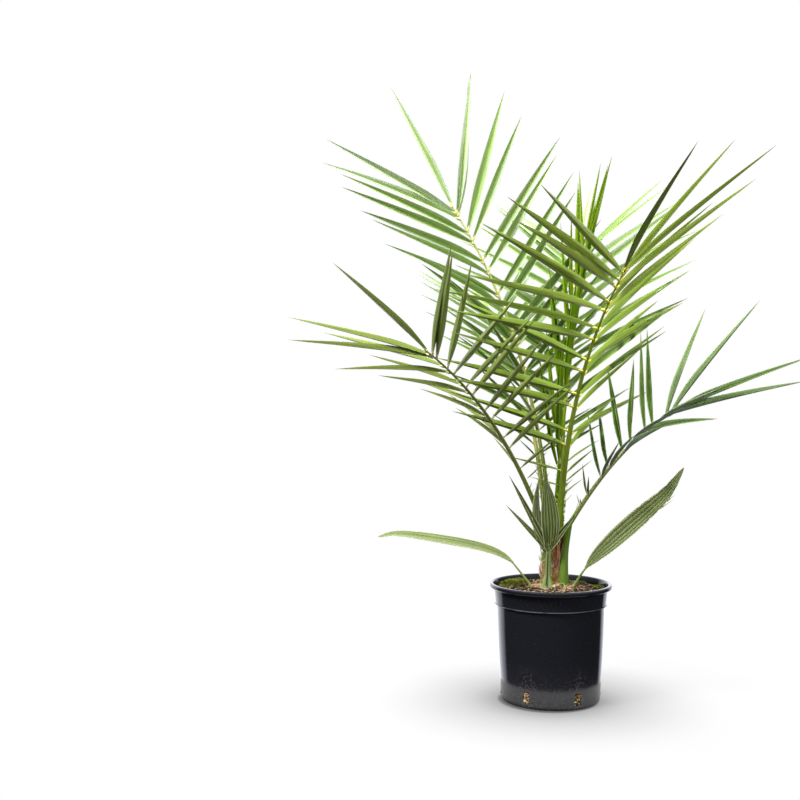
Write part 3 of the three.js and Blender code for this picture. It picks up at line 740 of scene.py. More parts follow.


# Colours of each kind of frond. tints are the upper side: its usual colour, a darker one, a lighter one, and
# the darkest, which only leaflets low on a frond have; the lighter and darker ones serve as lit and shaded
# copies, painted light and shade on blades and pleats.
foliage = {
    "pale": {"tints": ("#92ad69", "#82a054", "#b0c3a0", "#67853a"), "lower": "#a9bb91", "margin": "#b0c19a",
             "fold": "#7f9c48", "stalk": "#8c9c42", "rachis": "#aeb062", "base": "#6c8424",
             "knuckle": "#dcd692", "rough": 0.34, "spec": 0.5},
    "olive": {"tints": ("#6a852b", "#4f6915", "#84974a", "#3c520c"), "lower": "#7b8b46", "margin": "#a9a86c",
              "fold": "#98a650", "stalk": "#74862c", "rachis": "#848c48", "base": "#66811e",
              "knuckle": "#dddd9c", "rough": 0.38, "spec": 0.4},
    "mid": {"tints": ("#7e9e22", "#608210", "#90a846", "#405c0a"), "lower": "#728a34", "margin": "#b4b766",
            "fold": "#a9bc4a", "stalk": "#6f9214", "rachis": "#869c2e", "base": "#6a8a18",
            "knuckle": "#e4d95e", "rough": 0.34, "spec": 0.3},
    "blue": {"tints": ("#5c763a", "#486428", "#758c5a", "#3a5221"), "lower": "#74885b", "margin": "#94a87e",
             "fold": "#7a924a", "stalk": "#7f983e", "rachis": "#8f975c", "base": "#698634",
             "knuckle": "#c4c490", "rough": 0.46, "spec": 0.1},
    "spear": {"tints": ("#729a0a", "#5a8402", "#86a624", "#466a04"), "lower": "#779818", "margin": "#98a834",
              "fold": "#88a424", "stalk": "#678e10", "rachis": "#789818", "base": "#60800c",
              "knuckle": "#c4cc74", "rough": 0.36, "spec": 0.22},
    "juvenile": {"tints": ("#75824c", "#525e30", "#939f72", "#3d4820"), "lower": "#84906a",
                 "margin": "#b0b78e", "fold": "#8c986a", "stalk": "#86994a", "rachis": "#7a8a45",
                 "base": "#86a044", "knuckle": "#a9b27c", "rough": 0.46, "spec": 0.4},
    "juvenilePale": {"tints": ("#7d8c54", "#697a3e", "#929f72", "#5c6c34"), "lower": "#84915e",
                     "margin": "#a5ad82", "fold": "#8a9a60", "stalk": "#8d9e50", "rachis": "#7a8a45",
                     "base": "#88a048", "knuckle": "#a9b27c", "rough": 0.46, "spec": 0.4},
}
finishOrder = ("upperA", "upperB", "upperC", "upperD", "lower", "margin", "fold", "dry", "knuckle", "stalk",
               "rachis", "base")
finishNumber = {name: i for i, name in enumerate(finishOrder)}


def makeFoliage():
    dry = makeDryMatter("dried leaf tip, tan", "#a58a5a", 0.7)
    made = {}
    for kind, look in foliage.items():
        rough, spec = look["rough"], look["spec"]
        made[kind] = [makeLeaf(f"leaf upper side, {kind} {letter}", tint, rough, spec=spec)
                      for letter, tint in zip("abcd", look["tints"])]
        for part, title, partRough, dark in (
                ("lower", "leaf lower side", rough + 0.1, 0.8), ("margin", "leaf margin", rough, 0.92),
                ("fold", "leaf fold", rough, 0.92), ("dry", "", 0, 0),
                ("knuckle", "leaflet knuckle", 0.5, 0.9), ("stalk", "petiole", 0.36, 0.86),
                ("rachis", "rachis", 0.4, 0.84), ("base", "leaf base", 0.4, 0.84)):
            made[kind].append(dry if part == "dry" else
                              makeLeaf(f"{title}, {kind}", look[part], partRough, dark, spec))
    return made


leafKinds = makeFoliage()


# A leaflet is a long blade folded to a V along its midrib, widest a third of the way out.
leaflet = {
    "widest": 0.28, "rootWidth": 0.36, "width": 0.078, "widthLimit": 19, "sag": 0.035, "grownBy": 0.18,
    "bunch": 0.3, "stagger": 0.012,         # how leaflets bunch, and how far one side lags
    "taper": 1.35,                          # 1 would be a straight taper to the tip
    "thickness": 0.5, "keel": 0.9, "rows": 22,
    "marginShare": 0.84, "foldShare": 0.13,  # where margin and midrib strips begin, across a half blade
    "knuckle": 8,                           # length of the swollen joint at its foot
    "darkUpTo": 0.62, "paleFrom": 0.9,      # shares of the leafy stretch with darker and paler leaflets
    "paleUnder": 0.74,                      # and from where their under side is paler
    "under": "lower",
}

# The fronds by the same rule as their solids; usualFrond holds what most of them share.
# Angles in degrees, +X is 0 and +Y is 90.
#   neck           where the arc starts, neckRise above the stem's top where no neck is given
#   heading, sweep the arc's direction and its turn
#   rise, droop    slope at the neck, and how much is lost at the tip
#   roll, twist    turn about the stalk at the neck, and its growth to the tip
#   spread         angle of leaflet to stalk: low down in the left row, in the right row, and at the tip
#   fan            between which shares of the leafy stretch the spread turns to that at the tip
#   lift           angle of the rows out of the frond's plane, low down and at the tip
#   leaf, runt     leaflet length low down, in the middle and at the tip; share at the lowest
#   ruffle         how far the leaflets leave their plane
#   fold           half angle of the leaflets' V
usualFrond = {"stalk": (10, 6.5), "neckRise": 6, "sweep": 0, "roll": 0, "twist": 0, "fan": (0.7, 1),
              "ruffle": 8, "lift": (30, 14), "runt": 0.4, "end": 0, "fold": 42, "look": "pale"}
fronds = {
    "spear": {
        "foot": (5, 1), "neckRise": 4, "stalk": (7, 7), "heading": 35, "rise": 84, "droop": 6, "length": 430,
        "spread": (15, 15, 12), "fan": (0, 1), "ruffle": 4, "lift": (50, 20), "leaf": (190, 240, 165),
        "runt": 1, "pairs": 9, "bare": 0.22, "fold": 60, "look": "spear"},
    "frond_back_left": {
        "foot": (2.5, 13), "heading": 178, "sweep": 2, "rise": 83, "droop": 26, "length": 532, "roll": -31,
        "twist": -27, "spread": (56, 56, 35), "fan": (0.72, 1.04), "ruffle": 4.5, "lift": (33, 7),
        "leaf": (205, 255, 248), "pairs": 14, "bare": 0.27, "end": -9},
    "frond_left": {
        "foot": (-8.5, -7), "neck": (-6, -10, stemTop - 4), "stalk": (12, 7), "heading": 211, "sweep": 11,
        "rise": 66, "droop": 35, "length": 356, "roll": 6, "twist": 17, "spread": (69, 69, 49),
        "fan": (0.77, 0.88), "ruffle": 5, "lift": (35, 7), "leaf": (150, 150, 225), "runt": 0.25,
        "pairs": 12, "bare": 0.26, "end": 10, "fold": 48, "look": "olive"},
    "frond_centre": {
        "foot": (13, -9), "stalk": (12.5, 8), "heading": -46, "sweep": -19, "rise": 84, "droop": 47,
        "length": 430, "roll": -15, "twist": 38, "spread": (65, 78, 46), "fan": (0.7, 1.02),
        "lift": (25, 10), "leaf": (150, 250, 286), "runt": 0.2, "pairs": 15, "bare": 0.14, "end": -7,
        # the stalk's side towards this direction, its lit left side, takes the paler rachis colour as painted
        # light
        "fold": 44, "look": "mid", "scurf": 150, "paleSide": (-0.94, -0.34, 0),
        # thin low leaflets: place on the stalk, side and length
        "basal": ((0.084, 1, 30), (0.118, 1, 60), (0.162, 1, 70), (0.238, 1, 88),
                  (0.1, -1, 34), (0.15, -1, 50))},
    "frond_right": {
        "foot": (18.7, -11), "neck": (29.6, -12, stemTop + 12), "stalk": (10, 8.8), "heading": -6.1,
        "sweep": -2.9, "rise": 58.1, "droop": 25.7, "length": 235.3, "roll": 8.5, "twist": 22.5,
        "spread": (64, 64, 32), "fan": (0.85, 1.0), "ruffle": 5, "lift": (26, 15), "leaf": (85, 205, 240),
        "runt": 0.3, "pairs": 10, "bare": 0.132, "end": None, "fold": 48, "look": "blue",
        # its own thick base: how large it is on the way up, and how late it bends over
        "base": {"shares": (0, 0.22, 0.55, 0.8, 1), "sizes": (2.3, 2.1, 1.58, 1.4, 1.1), "bend": 2.6}},
    "frond_back": {
        "foot": (15.5, 8), "heading": 80, "rise": 83, "droop": 36, "length": 480, "spread": (64, 64, 40),
        "leaf": (180, 240, 215), "pairs": 13, "bare": 0.25},
    "frond_back_far_left": {
        "foot": (-6.5, 5.5), "heading": 122, "rise": 79, "droop": 40, "length": 385, "roll": -6,
        "spread": (62, 62, 42), "leaf": (140, 175, 170), "pairs": 12, "bare": 0.28},
}
stalkTip = 0.24                    # stalk size at the tip, as a share of that at the neck
stalkSteps = 60
stalkSides = 18


def stationsOf(frond):
    u = np.linspace(0, 1, stalkSteps + 1)
    slope = np.radians(frond["rise"] - frond["droop"] * u ** 1.5)
    heading = np.radians(frond["heading"] + frond["sweep"] * u)
    along = np.stack([np.cos(slope) * np.cos(heading), np.cos(slope) * np.sin(heading), np.sin(slope)], 1)
    steps = (along[1:] + along[:-1]) / 2 * frond["length"] / stalkSteps
    places = np.array(frond["neck"]) + np.concatenate([[[0, 0, 0]], np.cumsum(steps, 0)])
    return {"u": u, "at": places, "along": along, "heading": heading}


# Place and axes at share u: along the stalk, to its left, and out of its upper face.
def frameAt(frond, stations, u):
    def between(values):
        return np.array([np.interp(u, stations["u"], values[:, k]) for k in range(3)])
    along = unit(between(stations["along"]))
    heading = np.interp(u, stations["u"], stations["heading"])
    left = np.array([-math.sin(heading), math.cos(heading), 0])
    left = unit(left - along * np.dot(along, left))
    turn = math.radians(frond["roll"] + frond["twist"] * u)
    left = turnAbout(along, left, turn)
    return between(stations["at"]), along, left, np.cross(along, left)


# Leaflets stand in bunches of two, the two sides a little out of step.
def leafletPlaces(frond):
    last, top = 1 if frond["end"] is None else 0.985, frond["pairs"] - 1
    rows = [last - (last - frond["bare"]) * (1 - i / top) ** 1.25 for i in range(top + 1)]
    places = []
    for i, u in enumerate(rows):
        bunched = u - leaflet["bunch"] * (u - rows[i - 1]) if i % 2 else u
        places += [(bunched, 1), (bunched + (leaflet["stagger"] if i < top else 0), -1)]
    if frond["end"] is not None:
        places.append((1, 0))
    return places


# Where leaflet number n stands, which way it points, its upper side and its length.
def leafletStand(frond, stations, u, side, number):
    at, along, left, face = frameAt(frond, stations, u)
    v = min(max((u - frond["bare"]) / (1 - frond["bare"]), 0), 1)
    fanFrom, fanTo = frond["fan"]
    leftLow, rightLow, tipSpread = frond["spread"]
    turned = smooth((v - fanFrom) / (fanTo - fanFrom))
    spread = lerp(leftLow if side > 0 else rightLow, tipSpread, turned) if side else frond["end"]
    ruffle = frond["ruffle"] if side else 0
    spread = math.radians(spread + 0.5 * ruffle * math.sin(2.4 * number))
    lift = math.radians(lerp(*frond["lift"], v) + ruffle * math.sin(1.7 * number + 1))
    grown = min(1, frond["runt"] + (1 - frond["runt"]) * v / leaflet["grownBy"])
    low, middle, tip = frond["leaf"]
    length = grown * ((1 - v) ** 2 * low + 2 * v * (1 - v) * middle + v * v * tip)
    length *= 1 + 0.05 * math.sin(3.1 * number)
    aim = (along * math.cos(spread) + left * math.sin(spread) * (side or 1) * math.cos(lift)
           + face * math.sin(spread) * math.sin(lift))
    return at, left, face, aim, length


# Outline of a leaflet: half widths from foot to tip, as shares of the widest.
def outline(share, widest, rootWidth):
    rise = rootWidth + (1 - rootWidth) * np.sin(np.pi / 2 * np.clip(share / widest, 0, 1))
    return rise * (1 - np.clip((share - widest) / (1 - widest), 0, 1) ** leaflet["taper"])


# Tints from edge to midrib to edge: one half of a blade is always brighter than the other, painted light and
# shade on the V, with the lit half picked at random. Leaflets low on a frond take the next darker ones,
# partly older leaf and partly painted shade under the crown.
tintSteps = ("upperC", "upperA", "upperB", "upperD")
litAndShadedHalfTints = [(0, 1, 2, 1), (1, 2, 1, 0), (1, 0, 2, 2), (2, 2, 1, 0), (1, 1, 2, 1)]


def addLeaflet(heap, start, aim, face, length, width, shape, dice):
    rows = leaflet["rows"]
    share = np.linspace(0, 1, rows) ** 1.1
    across = unit(np.cross(aim, face))
    bend, sag = dice.gauss(0, 0.012), shape["sag"] + dice.gauss(0, 0.012)
    path = start + np.outer(share, aim) * length
    path += np.outer(share ** 2, across) * bend * length - np.outer(share ** 2, up) * sag * length
    along = unit(np.gradient(path, axis=0))
    twist = math.radians(dice.gauss(0, 7)) + np.radians(dice.gauss(0, 12)) * share
    out = unit(np.cross(across, along))
    side = np.cross(along, out)
    out, side = (out * np.cos(twist)[:, None] + side * np.sin(twist)[:, None],
                 side * np.cos(twist)[:, None] - out * np.sin(twist)[:, None])
    half = width / 2 * outline(share, shape["widest"], shape["rootWidth"]) + 0.12
    fold = np.radians((shape["fold"] + dice.gauss(0, 3)) * (1.12 - 0.35 * share))
    m, f = leaflet["marginShare"], leaflet["foldShare"]
    upper = np.array([-1, -m, -0.5, -f, f, 0.5, m, 1])
    lower = np.array([1, 0.5, f, -f, -0.5, -1])
    t = np.concatenate([upper, lower])
    size = abs(t)
    crown = 0.16 * size * (1 - size)          # each half blade arches a little
    thick = leaflet["thickness"] * np.minimum(1, half / 2)
    depth = np.where(size < 0.2, leaflet["keel"] / leaflet["thickness"], np.where(size > 0.95, 0.5, 1.0))
    isLower = np.arange(len(t)) >= len(upper)
    drop = np.outer(thick, depth * isLower)
    sideways = half[:, None] * t * np.cos(fold)[:, None]
    outwards = half[:, None] * (size * np.sin(fold)[:, None] + crown) - drop
    rings = path[:, None] + side[:, None] * sideways[:, :, None] + out[:, None] * outwards[:, :, None]
    n = finishNumber
    # one half blade takes lighter tints and the other darker ones: painted light and shade on the V
    tints = [n[tintSteps[min(max(step + shape["darker"], 0), 3)]] for step in dice.choice(litAndShadedHalfTints)]
    under = n[shape["under"]]
    # the pale margin strips are wax bloom with a painted sheen
    strips = [n["margin"], tints[0], tints[1], n["fold"], tints[2], tints[3], n["margin"], n["margin"],
              under, under, n["fold"], under, under, n["margin"]]
    finish = np.tile(strips, (rows - 1, 1))
    if dice.random() < shape["dryShare"]:
        dryFrom = dice.uniform(0.9, 0.985)
        finish[share[:-1] >= dryFrom] = n["dry"]
    addLoft(heap, rings, finish, across=t * width / 2, along=share * length + dice.uniform(0, 900))


# A small solid peg: the pale joint by which a leaflet sits on the stalk, or a spine.
pegs = {
    "knuckle": {"shares": (-0.15, 0.05, 0.3, 0.6, 0.85, 1.05), "radii": (0.7, 1.05, 1, 0.78, 0.6, 0.4),
                "sides": 8},
    "spine": {"shares": (-0.1, 0.3, 0.7, 1.0), "radii": (1.1, 0.8, 0.45, 0.08), "sides": 5},
}


def addPeg(heap, kind, start, aim, length, radius, finish):
    peg = pegs[kind]
    path = start + np.outer(np.array(peg["shares"]) * length, aim)
    addTube(heap, path, np.array(peg["radii"]) * radius, finish, peg["sides"])


def stalkSize(u):
    return 1 - (1 - stalkTip) * np.clip(u, 0, 1) ** 0.8


# Rings of a thick leaf base that stands alone and bends over to its frond.
def baseRings(frond, neckRing):
    base = frond["base"]
    heading = spoke(math.radians(frond["heading"]))
    level = neckRing - neckRing.mean(0)
    stretch = 1 / math.sin(math.radians(frond["rise"])) - 1
    rings = []
    for share in np.linspace(0, 1, 16)[:-1]:
        middle = lerp(np.array(frond["foot"]), np.array(frond["neck"][:2]), share ** base["bend"])
        ring = level * np.interp(share, base["shares"], base["sizes"])
        ring += np.outer(ring @ heading, heading) * stretch
        rings.append(ring + [*middle, lerp(soilTop - 4, frond["neck"][2], share)])
    return rings


# Rings of a leaf base that clasps the stem at the soil and closes to the stalk at the neck.
def sheathRings(frond, neckRing, layer):
    axis = stemMiddle[:2]
    towards = math.atan2(*(np.array(frond["neck"][:2]) - axis)[::-1])
    angles = math.tau * (np.arange(stalkSides) + 0.5) / stalkSides
    # the outer face comes first, then back along the thin inner face
    t = np.cos(angles)
    isOuter = np.sin(angles) < 0
    depth = np.where(isOuter, 1.9, -0.6) * (1 - t ** 4) * np.abs(np.sin(angles)) ** 0.3
    rings = []
    for share in np.linspace(0, 1, 16)[:-1]:
        height = lerp(soilTop - 4, frond["neck"][2], share)
        blend = smooth((share - 0.35) / 0.65)
        radius = lerp(16.2, 15.0, share) + layer * (1 - blend * 0.6) + depth
        arc = towards - t * lerp(1.35, 0.75, share)
        wrapped = np.stack([axis[0] + radius * np.cos(arc), axis[1] + radius * np.sin(arc),
                            np.full(stalkSides, height)], 1)
        closed = neckRing.copy()
        closed[:, 2] = height
        rings.append(lerp(wrapped, closed, blend))
    return rings


def makeStalk(frond, stations, heap, layer):
    width, depth = frond["stalk"]
    angles = math.tau * (np.arange(stalkSides) + 0.5) / stalkSides
    cosine, sine = np.cos(angles), np.sin(angles)
    squared = np.sign(cosine) * abs(cosine) ** 0.86
    rings = []
    for u in stations["u"]:
        at, along, left, face = frameAt(frond, stations, u)
        size = stalkSize(u)
        # flat above low down, and ridged near the tip
        crest = np.where(sine > 0, sine * lerp(0.82, 1.15, u), sine)
        rings.append(at + np.outer(squared, left) * width * size / 2
                     + np.outer(crest, face) * depth * size / 2)
    neckRing = rings[0] - rings[0].mean(0)
    neckRing[:, 2] = 0
    neckRing += rings[0].mean(0)
    low = baseRings(frond, neckRing) if "base" in frond else sheathRings(frond, neckRing, layer)
    rings = np.array(low + rings)
    n = finishNumber
    finish = np.full((len(rings) - 1, stalkSides), n["rachis"])
    bareEnd = len(low) + int(frond["bare"] * stalkSteps)
    finish[:bareEnd] = n["stalk"]
    finish[:len(low)] = n["base"]
    for k in range(stalkSides):        # one colour runs into the next in streaks
        ends = bareEnd + int(5 * math.sin(2.4 * k))
        finish[bareEnd - 6:ends, k] = n["stalk"]
        finish[max(ends, len(low)):bareEnd + 6, k] = n["rachis"]
    middle = rings.mean(1)
    # the lit side of the stalk is painted in the paler rachis colour: painted light
    if "paleSide" in frond:
        isPaintedLit = unit(rings - middle[:, None])[:-1] @ np.array(frond["paleSide"]) > 0.3
        finish[isPaintedLit] = n["rachis"]
    addLoft(heap, rings, finish, across=np.abs(angles - math.pi) * width / 2, along=reachAlong(middle))


# Dry brownish scales along the +X edge of a petiole, where its sheath has torn off.
def addScurf(heap, frond, stations):
    dice = random.Random(17)
    width, depth = frond["stalk"]
    for _ in range(frond["scurf"]):
        u = dice.uniform(-0.06, 0.16)
        at, along, left, face = frameAt(frond, stations, max(u, 0))
        at = at + up * min(u, 0) * frond["length"]
        pull = unit(np.array([left[0] * width, face[0] * depth]))
        edge = (left * width * pull[0] + face * depth * pull[1]) / 2
        spot = at + edge * dice.uniform(0.95, 1.2) + along * dice.uniform(-2, 2)
        kind = dice.choice(("dry", "margin", "lower", "dry", "rachis"))
        addCrumb(heap, spot, dice.uniform(0.5, 1.25), dice, finishNumber[kind], 0.5, 1.6)


def makeFrond(name, frond, layer):
    frond = {**usualFrond, **frond}
    frond.setdefault("neck", (*frond["foot"], stemTop + frond["neckRise"]))
    dice = random.Random(name)
    stations = stationsOf(frond)
    blades, stalk = newHeap(), newHeap()
    makeStalk(frond, stations, stalk, layer)
    if "scurf" in frond:
        addScurf(stalk, frond, stations)
    shape = dict(leaflet, fold=frond["fold"], dryShare=0.55)
    n = finishNumber
    joint = leaflet["knuckle"] * 0.45
    width, depth = frond["stalk"]
    for number, (u, side) in enumerate(leafletPlaces(frond)):
        at, left, face, aim, length = leafletStand(frond, stations, u, side, number)
        aim = unit(aim + np.array([dice.gauss(0, 0.02) for _ in range(3)]))
        breadth = min(leaflet["width"] * length, leaflet["widthLimit"]) * dice.uniform(0.9, 1.04)
        root = at + left * side * width * stalkSize(u) * 0.36 + face * depth * stalkSize(u) * 0.1
        if length > 45:
            thick = min(2.3, 0.35 + breadth * 0.11)
            addPeg(stalk, "knuckle", root, aim, leaflet["knuckle"], thick, n["knuckle"])
        grownShare = (u - frond["bare"]) / (1 - frond["bare"])
        # low leaflets take the next darker tints, partly older leaf and partly painted shade under the crown;
        # tip leaflets take the next paler ones
        shape["darker"] = int(grownShare < leaflet["darkUpTo"]) - int(grownShare > leaflet["paleFrom"])
        shape["under"] = "upperC" if grownShare > leaflet["paleUnder"] else "lower"
        addLeaflet(blades, root + aim * joint, aim, face, length - joint, breadth, shape, dice)
    shape["darker"] = 2
    for number, (u, side, length) in enumerate(frond.get("basal", ())):
        at, left, face, aim, _ = leafletStand(frond, stations, u, side, number)
        root = at + left * side * width * stalkSize(u) * 0.42
        addLeaflet(blades, root, aim, face, length, length * 0.055, shape, dice)
    spines = 5 if name != "spear" else 0
    for i in range(spines):
        u = frond["bare"] * lerp(0.4, 0.94, i / spines)
        for side in (1, -1):
            at, along, left, face = frameAt(frond, stations, u + dice.uniform(-0.01, 0.01))
            aim = unit(along * 0.8 + left * side * dice.uniform(0.5, 1.0) + face * 0.4)
            root = at + left * side * width * stalkSize(u) * 0.45
            length = dice.uniform(5, 15)
            finish = n["knuckle"] if dice.random() < 0.7 else n["dry"]
            addPeg(stalk, "spine", root, aim, length, 0.8, finish)
    slot = "spear" if name == "spear" else "frond_" + frond["look"]
    kinds = leafKinds[frond["look"]]
    dress(makePiece("leaflets" + pieceTitle(name), blades, kinds, 50), slot, name)
    dress(makePiece("stalk" + pieceTitle(name), stalk, kinds, 60), slot)


for layer, (name, frond) in enumerate(fronds.items()):
    makeFrond(name, frond, layer * 0.7)
print("fronds ready")


fibreShape = {
    "rags": 54, "tornRags": 34, "hairs": 150, "grains": 130, "scraps": 90,
    "top": cadSize("fibre_sheath")[1][2],
    "radius": 17.4,                            # of the stem under it
    "front": -math.pi / 2 + 0.36, "tornBase": math.radians(214),
    "colours": {"red brown": "#a95c46", "tan": "#c89b6c", "papery pink": "#d0a994", "foxy": "#bb6c44",
                "deep red": "#5c2c22", "cream": "#ead9bd"},
}


# The core of the stem, hidden under leaf bases: brown and ringed by old leaf scars.
def makeStem():
    heap = newHeap()
    angles = roundAngles(40)
    rings = []
    for share in np.linspace(0, 1, 40):
        height = lerp(soilTop - 4, stemTop + 3, share)
        radius = (stemHigh[0] - stemLow[0]) / 2 - 1.4 - 1.2 * share
        radius += 0.5 * math.sin(height / 2.1) - 7 * smooth((share - 0.93) / 0.07)
        middle = np.array([*stemMiddle[:2], height])
        rings.append([middle + spoke(a) * (radius + 0.7 * lumps(a * 3, height / 7, 0)) for a in angles])
    addLoft(heap, rings)
    scars = makeDryMatter("old leaf base, brown", "#6b4a2e", 0.85, 0.6, 160)
    dress(makePiece("stemCore", heap, [scars]), "stem", "stem")


# A papery rag: a strip that hugs the stem and frays outwards at its top.
def addRag(heap, angle, low, high, width, lift, dice, finish):
    rings = []
    phase, lean = dice.uniform(0, 9), dice.uniform(-0.28, 0.28)
    for share in np.linspace(0, 1, 12):
        height = lerp(low, high, share)
        radius = fibreShape["radius"] + lift + 2.2 * lift * smooth((share - 0.5) / 0.5) * share
        radius += 0.8 * lumps(angle * 4, height / 5, phase)
        half = width / 2 * (1 - share ** 2.4) * (1 + 0.3 * lumps(phase, height / 3, 2)) + 0.15
        outward = spoke(angle + lean * share)
        side = np.cross(up, outward)
        middle = np.array([*stemMiddle[:2], height]) + outward * radius
        # a flat section of six points: how far each is sideways and outwards
        rings.append([middle + side * half * across + outward * (half * curl + out) for across, curl, out in (
            (-1, -0.22, 0), (-0.4, 0, 0.5), (0.5, 0, 0.45), (1, -0.2, 0), (0.5, 0, -0.15), (-0.4, 0, -0.1))])
    addLoft(heap, rings, finish)


def makeFibre():
    f = fibreShape
    dice = random.Random(23)
    heap = newHeap()
    front, tornBase = f["front"], f["tornBase"]
    for i in range(f["rags"]):
        ahead = i < f["rags"] * 0.7
        angle = front + dice.gauss(0, 0.24) if ahead else dice.uniform(-1.2, 3.4)
        low = soilTop - 2 + dice.uniform(0, 26)
        high = min(low + dice.uniform(34, 74), f["top"] + dice.uniform(-4, 16))
        addRag(heap, angle, low, high, dice.uniform(2.0, 6), dice.uniform(0.4, 2.4), dice,
               dice.choices(range(5), (4, 3, 3, 3, 2))[0])
    # rags of the torn old base, to the left of the split leaf's foot
    for i in range(f["tornRags"]):
        addRag(heap, tornBase + dice.gauss(0, 0.24), soilTop - 2, soilTop + dice.uniform(16, 42),
               dice.uniform(3, 8), dice.uniform(0.6, 2.4), dice, dice.choice((1, 2, 2, 2, 4)))
    # crumbled red fibre at the top of the sheath
    for _ in range(f["grains"]):
        angle, height = front + dice.gauss(0.1, 0.22), f["top"] + dice.uniform(-30, 22)
        place = np.array([*stemMiddle[:2], height]) + spoke(angle) * dice.uniform(f["radius"], 20)
        addCrumb(heap, place, dice.uniform(0.5, 1.3), dice, dice.choice((0, 1, 3, 3, 4)))
    # papery scraps in a mound round the foot
    for _ in range(f["scraps"]):
        angle, out = dice.uniform(math.pi, math.tau), dice.uniform(20, 36)
        x, y = stemMiddle[0] + out * math.cos(angle), stemMiddle[1] - 4 + out * math.sin(angle) * 0.9
        place = above(x, y, dice.uniform(0.5, 3.5))
        addCrumb(heap, place, dice.uniform(1.2, 3), dice, dice.choice((1, 2, 2, 5)), 0.3, 1.7)
    for i in range(f["hairs"]):
        torn = i % 3 == 0
        angle = tornBase + dice.gauss(0, 0.3) if torn else front + dice.gauss(0, 0.35)
        height = dice.uniform(soilTop + 1, soilTop + 30 if torn else f["top"] + 8)
        length, turn = dice.uniform(8, 24), dice.uniform(-1.1, 1.1)
        path = []
        for k in range(7):
            share = k / 6
            radius = (19.4 if torn else 18.2) + 2.6 * math.sin(math.pi * share * 0.8) * dice.uniform(0.6, 1.2)
            spot = angle + turn * share
            path.append((stemMiddle[0] + radius * math.cos(spot), stemMiddle[1] + radius * math.sin(spot),
                         height + length * share * dice.uniform(0.9, 1.1)))
        addTube(heap, path, dice.uniform(0.2, 0.46), 5 if torn else dice.choice((0, 1, 2, 3, 5)), 4)
    kinds = [makeDryMatter(f"leaf-base fibre, {name}", colour, 0.75, 0.6, 300)
             for name, colour in f["colours"].items()]
    dress(makePiece("leafBaseFibre", heap, kinds), "fibre", "fibre_sheath")


makeStem()
makeFibre()
print("stem ready")


# Undivided pleated blades on thin stalks, along the same paths as their solids.
straps = {
    "strap_leaf_right": {
        "path": [(33, -14, soilTop), (56, -19, 209), (95, -24, 247), (147, -27, 295), (176, -28, 324),
                 (200, -26, 362)],
        "width": 34, "bladeFrom": 0.16, "taper": 0.7, "stalk": 5, "fold": 12, "facing": (-0.5, -0.75, 0.5),
        "pleats": 5, "frayed": True, "look": "juvenile"},
    "strap_leaf_left": {
        "path": [(-27, -16, soilTop), (-50, -20, 203), (-64, -22, 218), (-93, -26, 232), (-141, -31, 243),
                 (-229, -39, 256), (-265, -42, 252)],
        "width": 21, "bladeFrom": 0.2, "taper": 0.5, "stalk": 4.5, "fold": 14, "facing": (-0.1, -0.55, 0.83),
        "pleats": 4, "frayed": False, "look": "juvenilePale"},
}
splitLeaf = {
    "foot": (-4.4, -25), "fork": (-2.6, -27.5, 232), "stalk": (10, 8),
    # each blade: where its tip lies from the fork, its width, which way its upper face looks, and
    # how many tints darker it is
    "blades": [
        {"reach": (-65.8, -4, 74), "width": 9.5, "facing": (0.2, -1, 0.2), "darker": 1},
        {"reach": (-60.8, -10, 122), "width": 12, "facing": (0.2, -1, 0.2), "darker": 1},
        {"reach": (41, -9, 65), "width": 11, "facing": (-0.3, -1, 0.2), "darker": 2},
    ],
    # the two that stayed undivided, with their start, how far they bow sideways, pleats and strips: tints of
    # each pleat's faces, painted light and shade
    "broad": [
        {"reach": (-10.8, -5, 112), "width": 15, "facing": (0.6, -1, 0), "start": (-4, 2, 0), "bow": -10,
         "pleats": 4, "strips": ("upperC", "lower", "upperC", "margin")},
        {"reach": (-5.6, -14, 117), "width": 28, "facing": (0, -1, -0.1), "start": (0, 0, 0), "bow": 4.5,
         "pleats": 6, "strips": ("upperC", "upperA", "upperB", "upperA")},
    ],
}


# Catmull-Rom curve through the points, sampled evenly along its length.
def smoothPath(points, count):
    points = np.array(points, float)
    padded = np.concatenate([[2 * points[0] - points[1]], points, [2 * points[-1] - points[-2]]])
    samples = []
    for i in range(len(points) - 1):
        a, b, c, d = padded[i:i + 4]
        for t in np.linspace(0, 1, 30, endpoint=i == len(points) - 2):
            samples.append(0.5 * (2 * b + (c - a) * t + (2 * a - 5 * b + 4 * c - d) * t ** 2
                                  + (3 * b - a - 3 * c + d) * t ** 3))
    samples = np.array(samples)
    reach = reachAlong(samples)
    wanted = np.linspace(0, reach[-1], count)
    return np.stack([np.interp(wanted, reach, samples[:, k]) for k in range(3)], 1), wanted
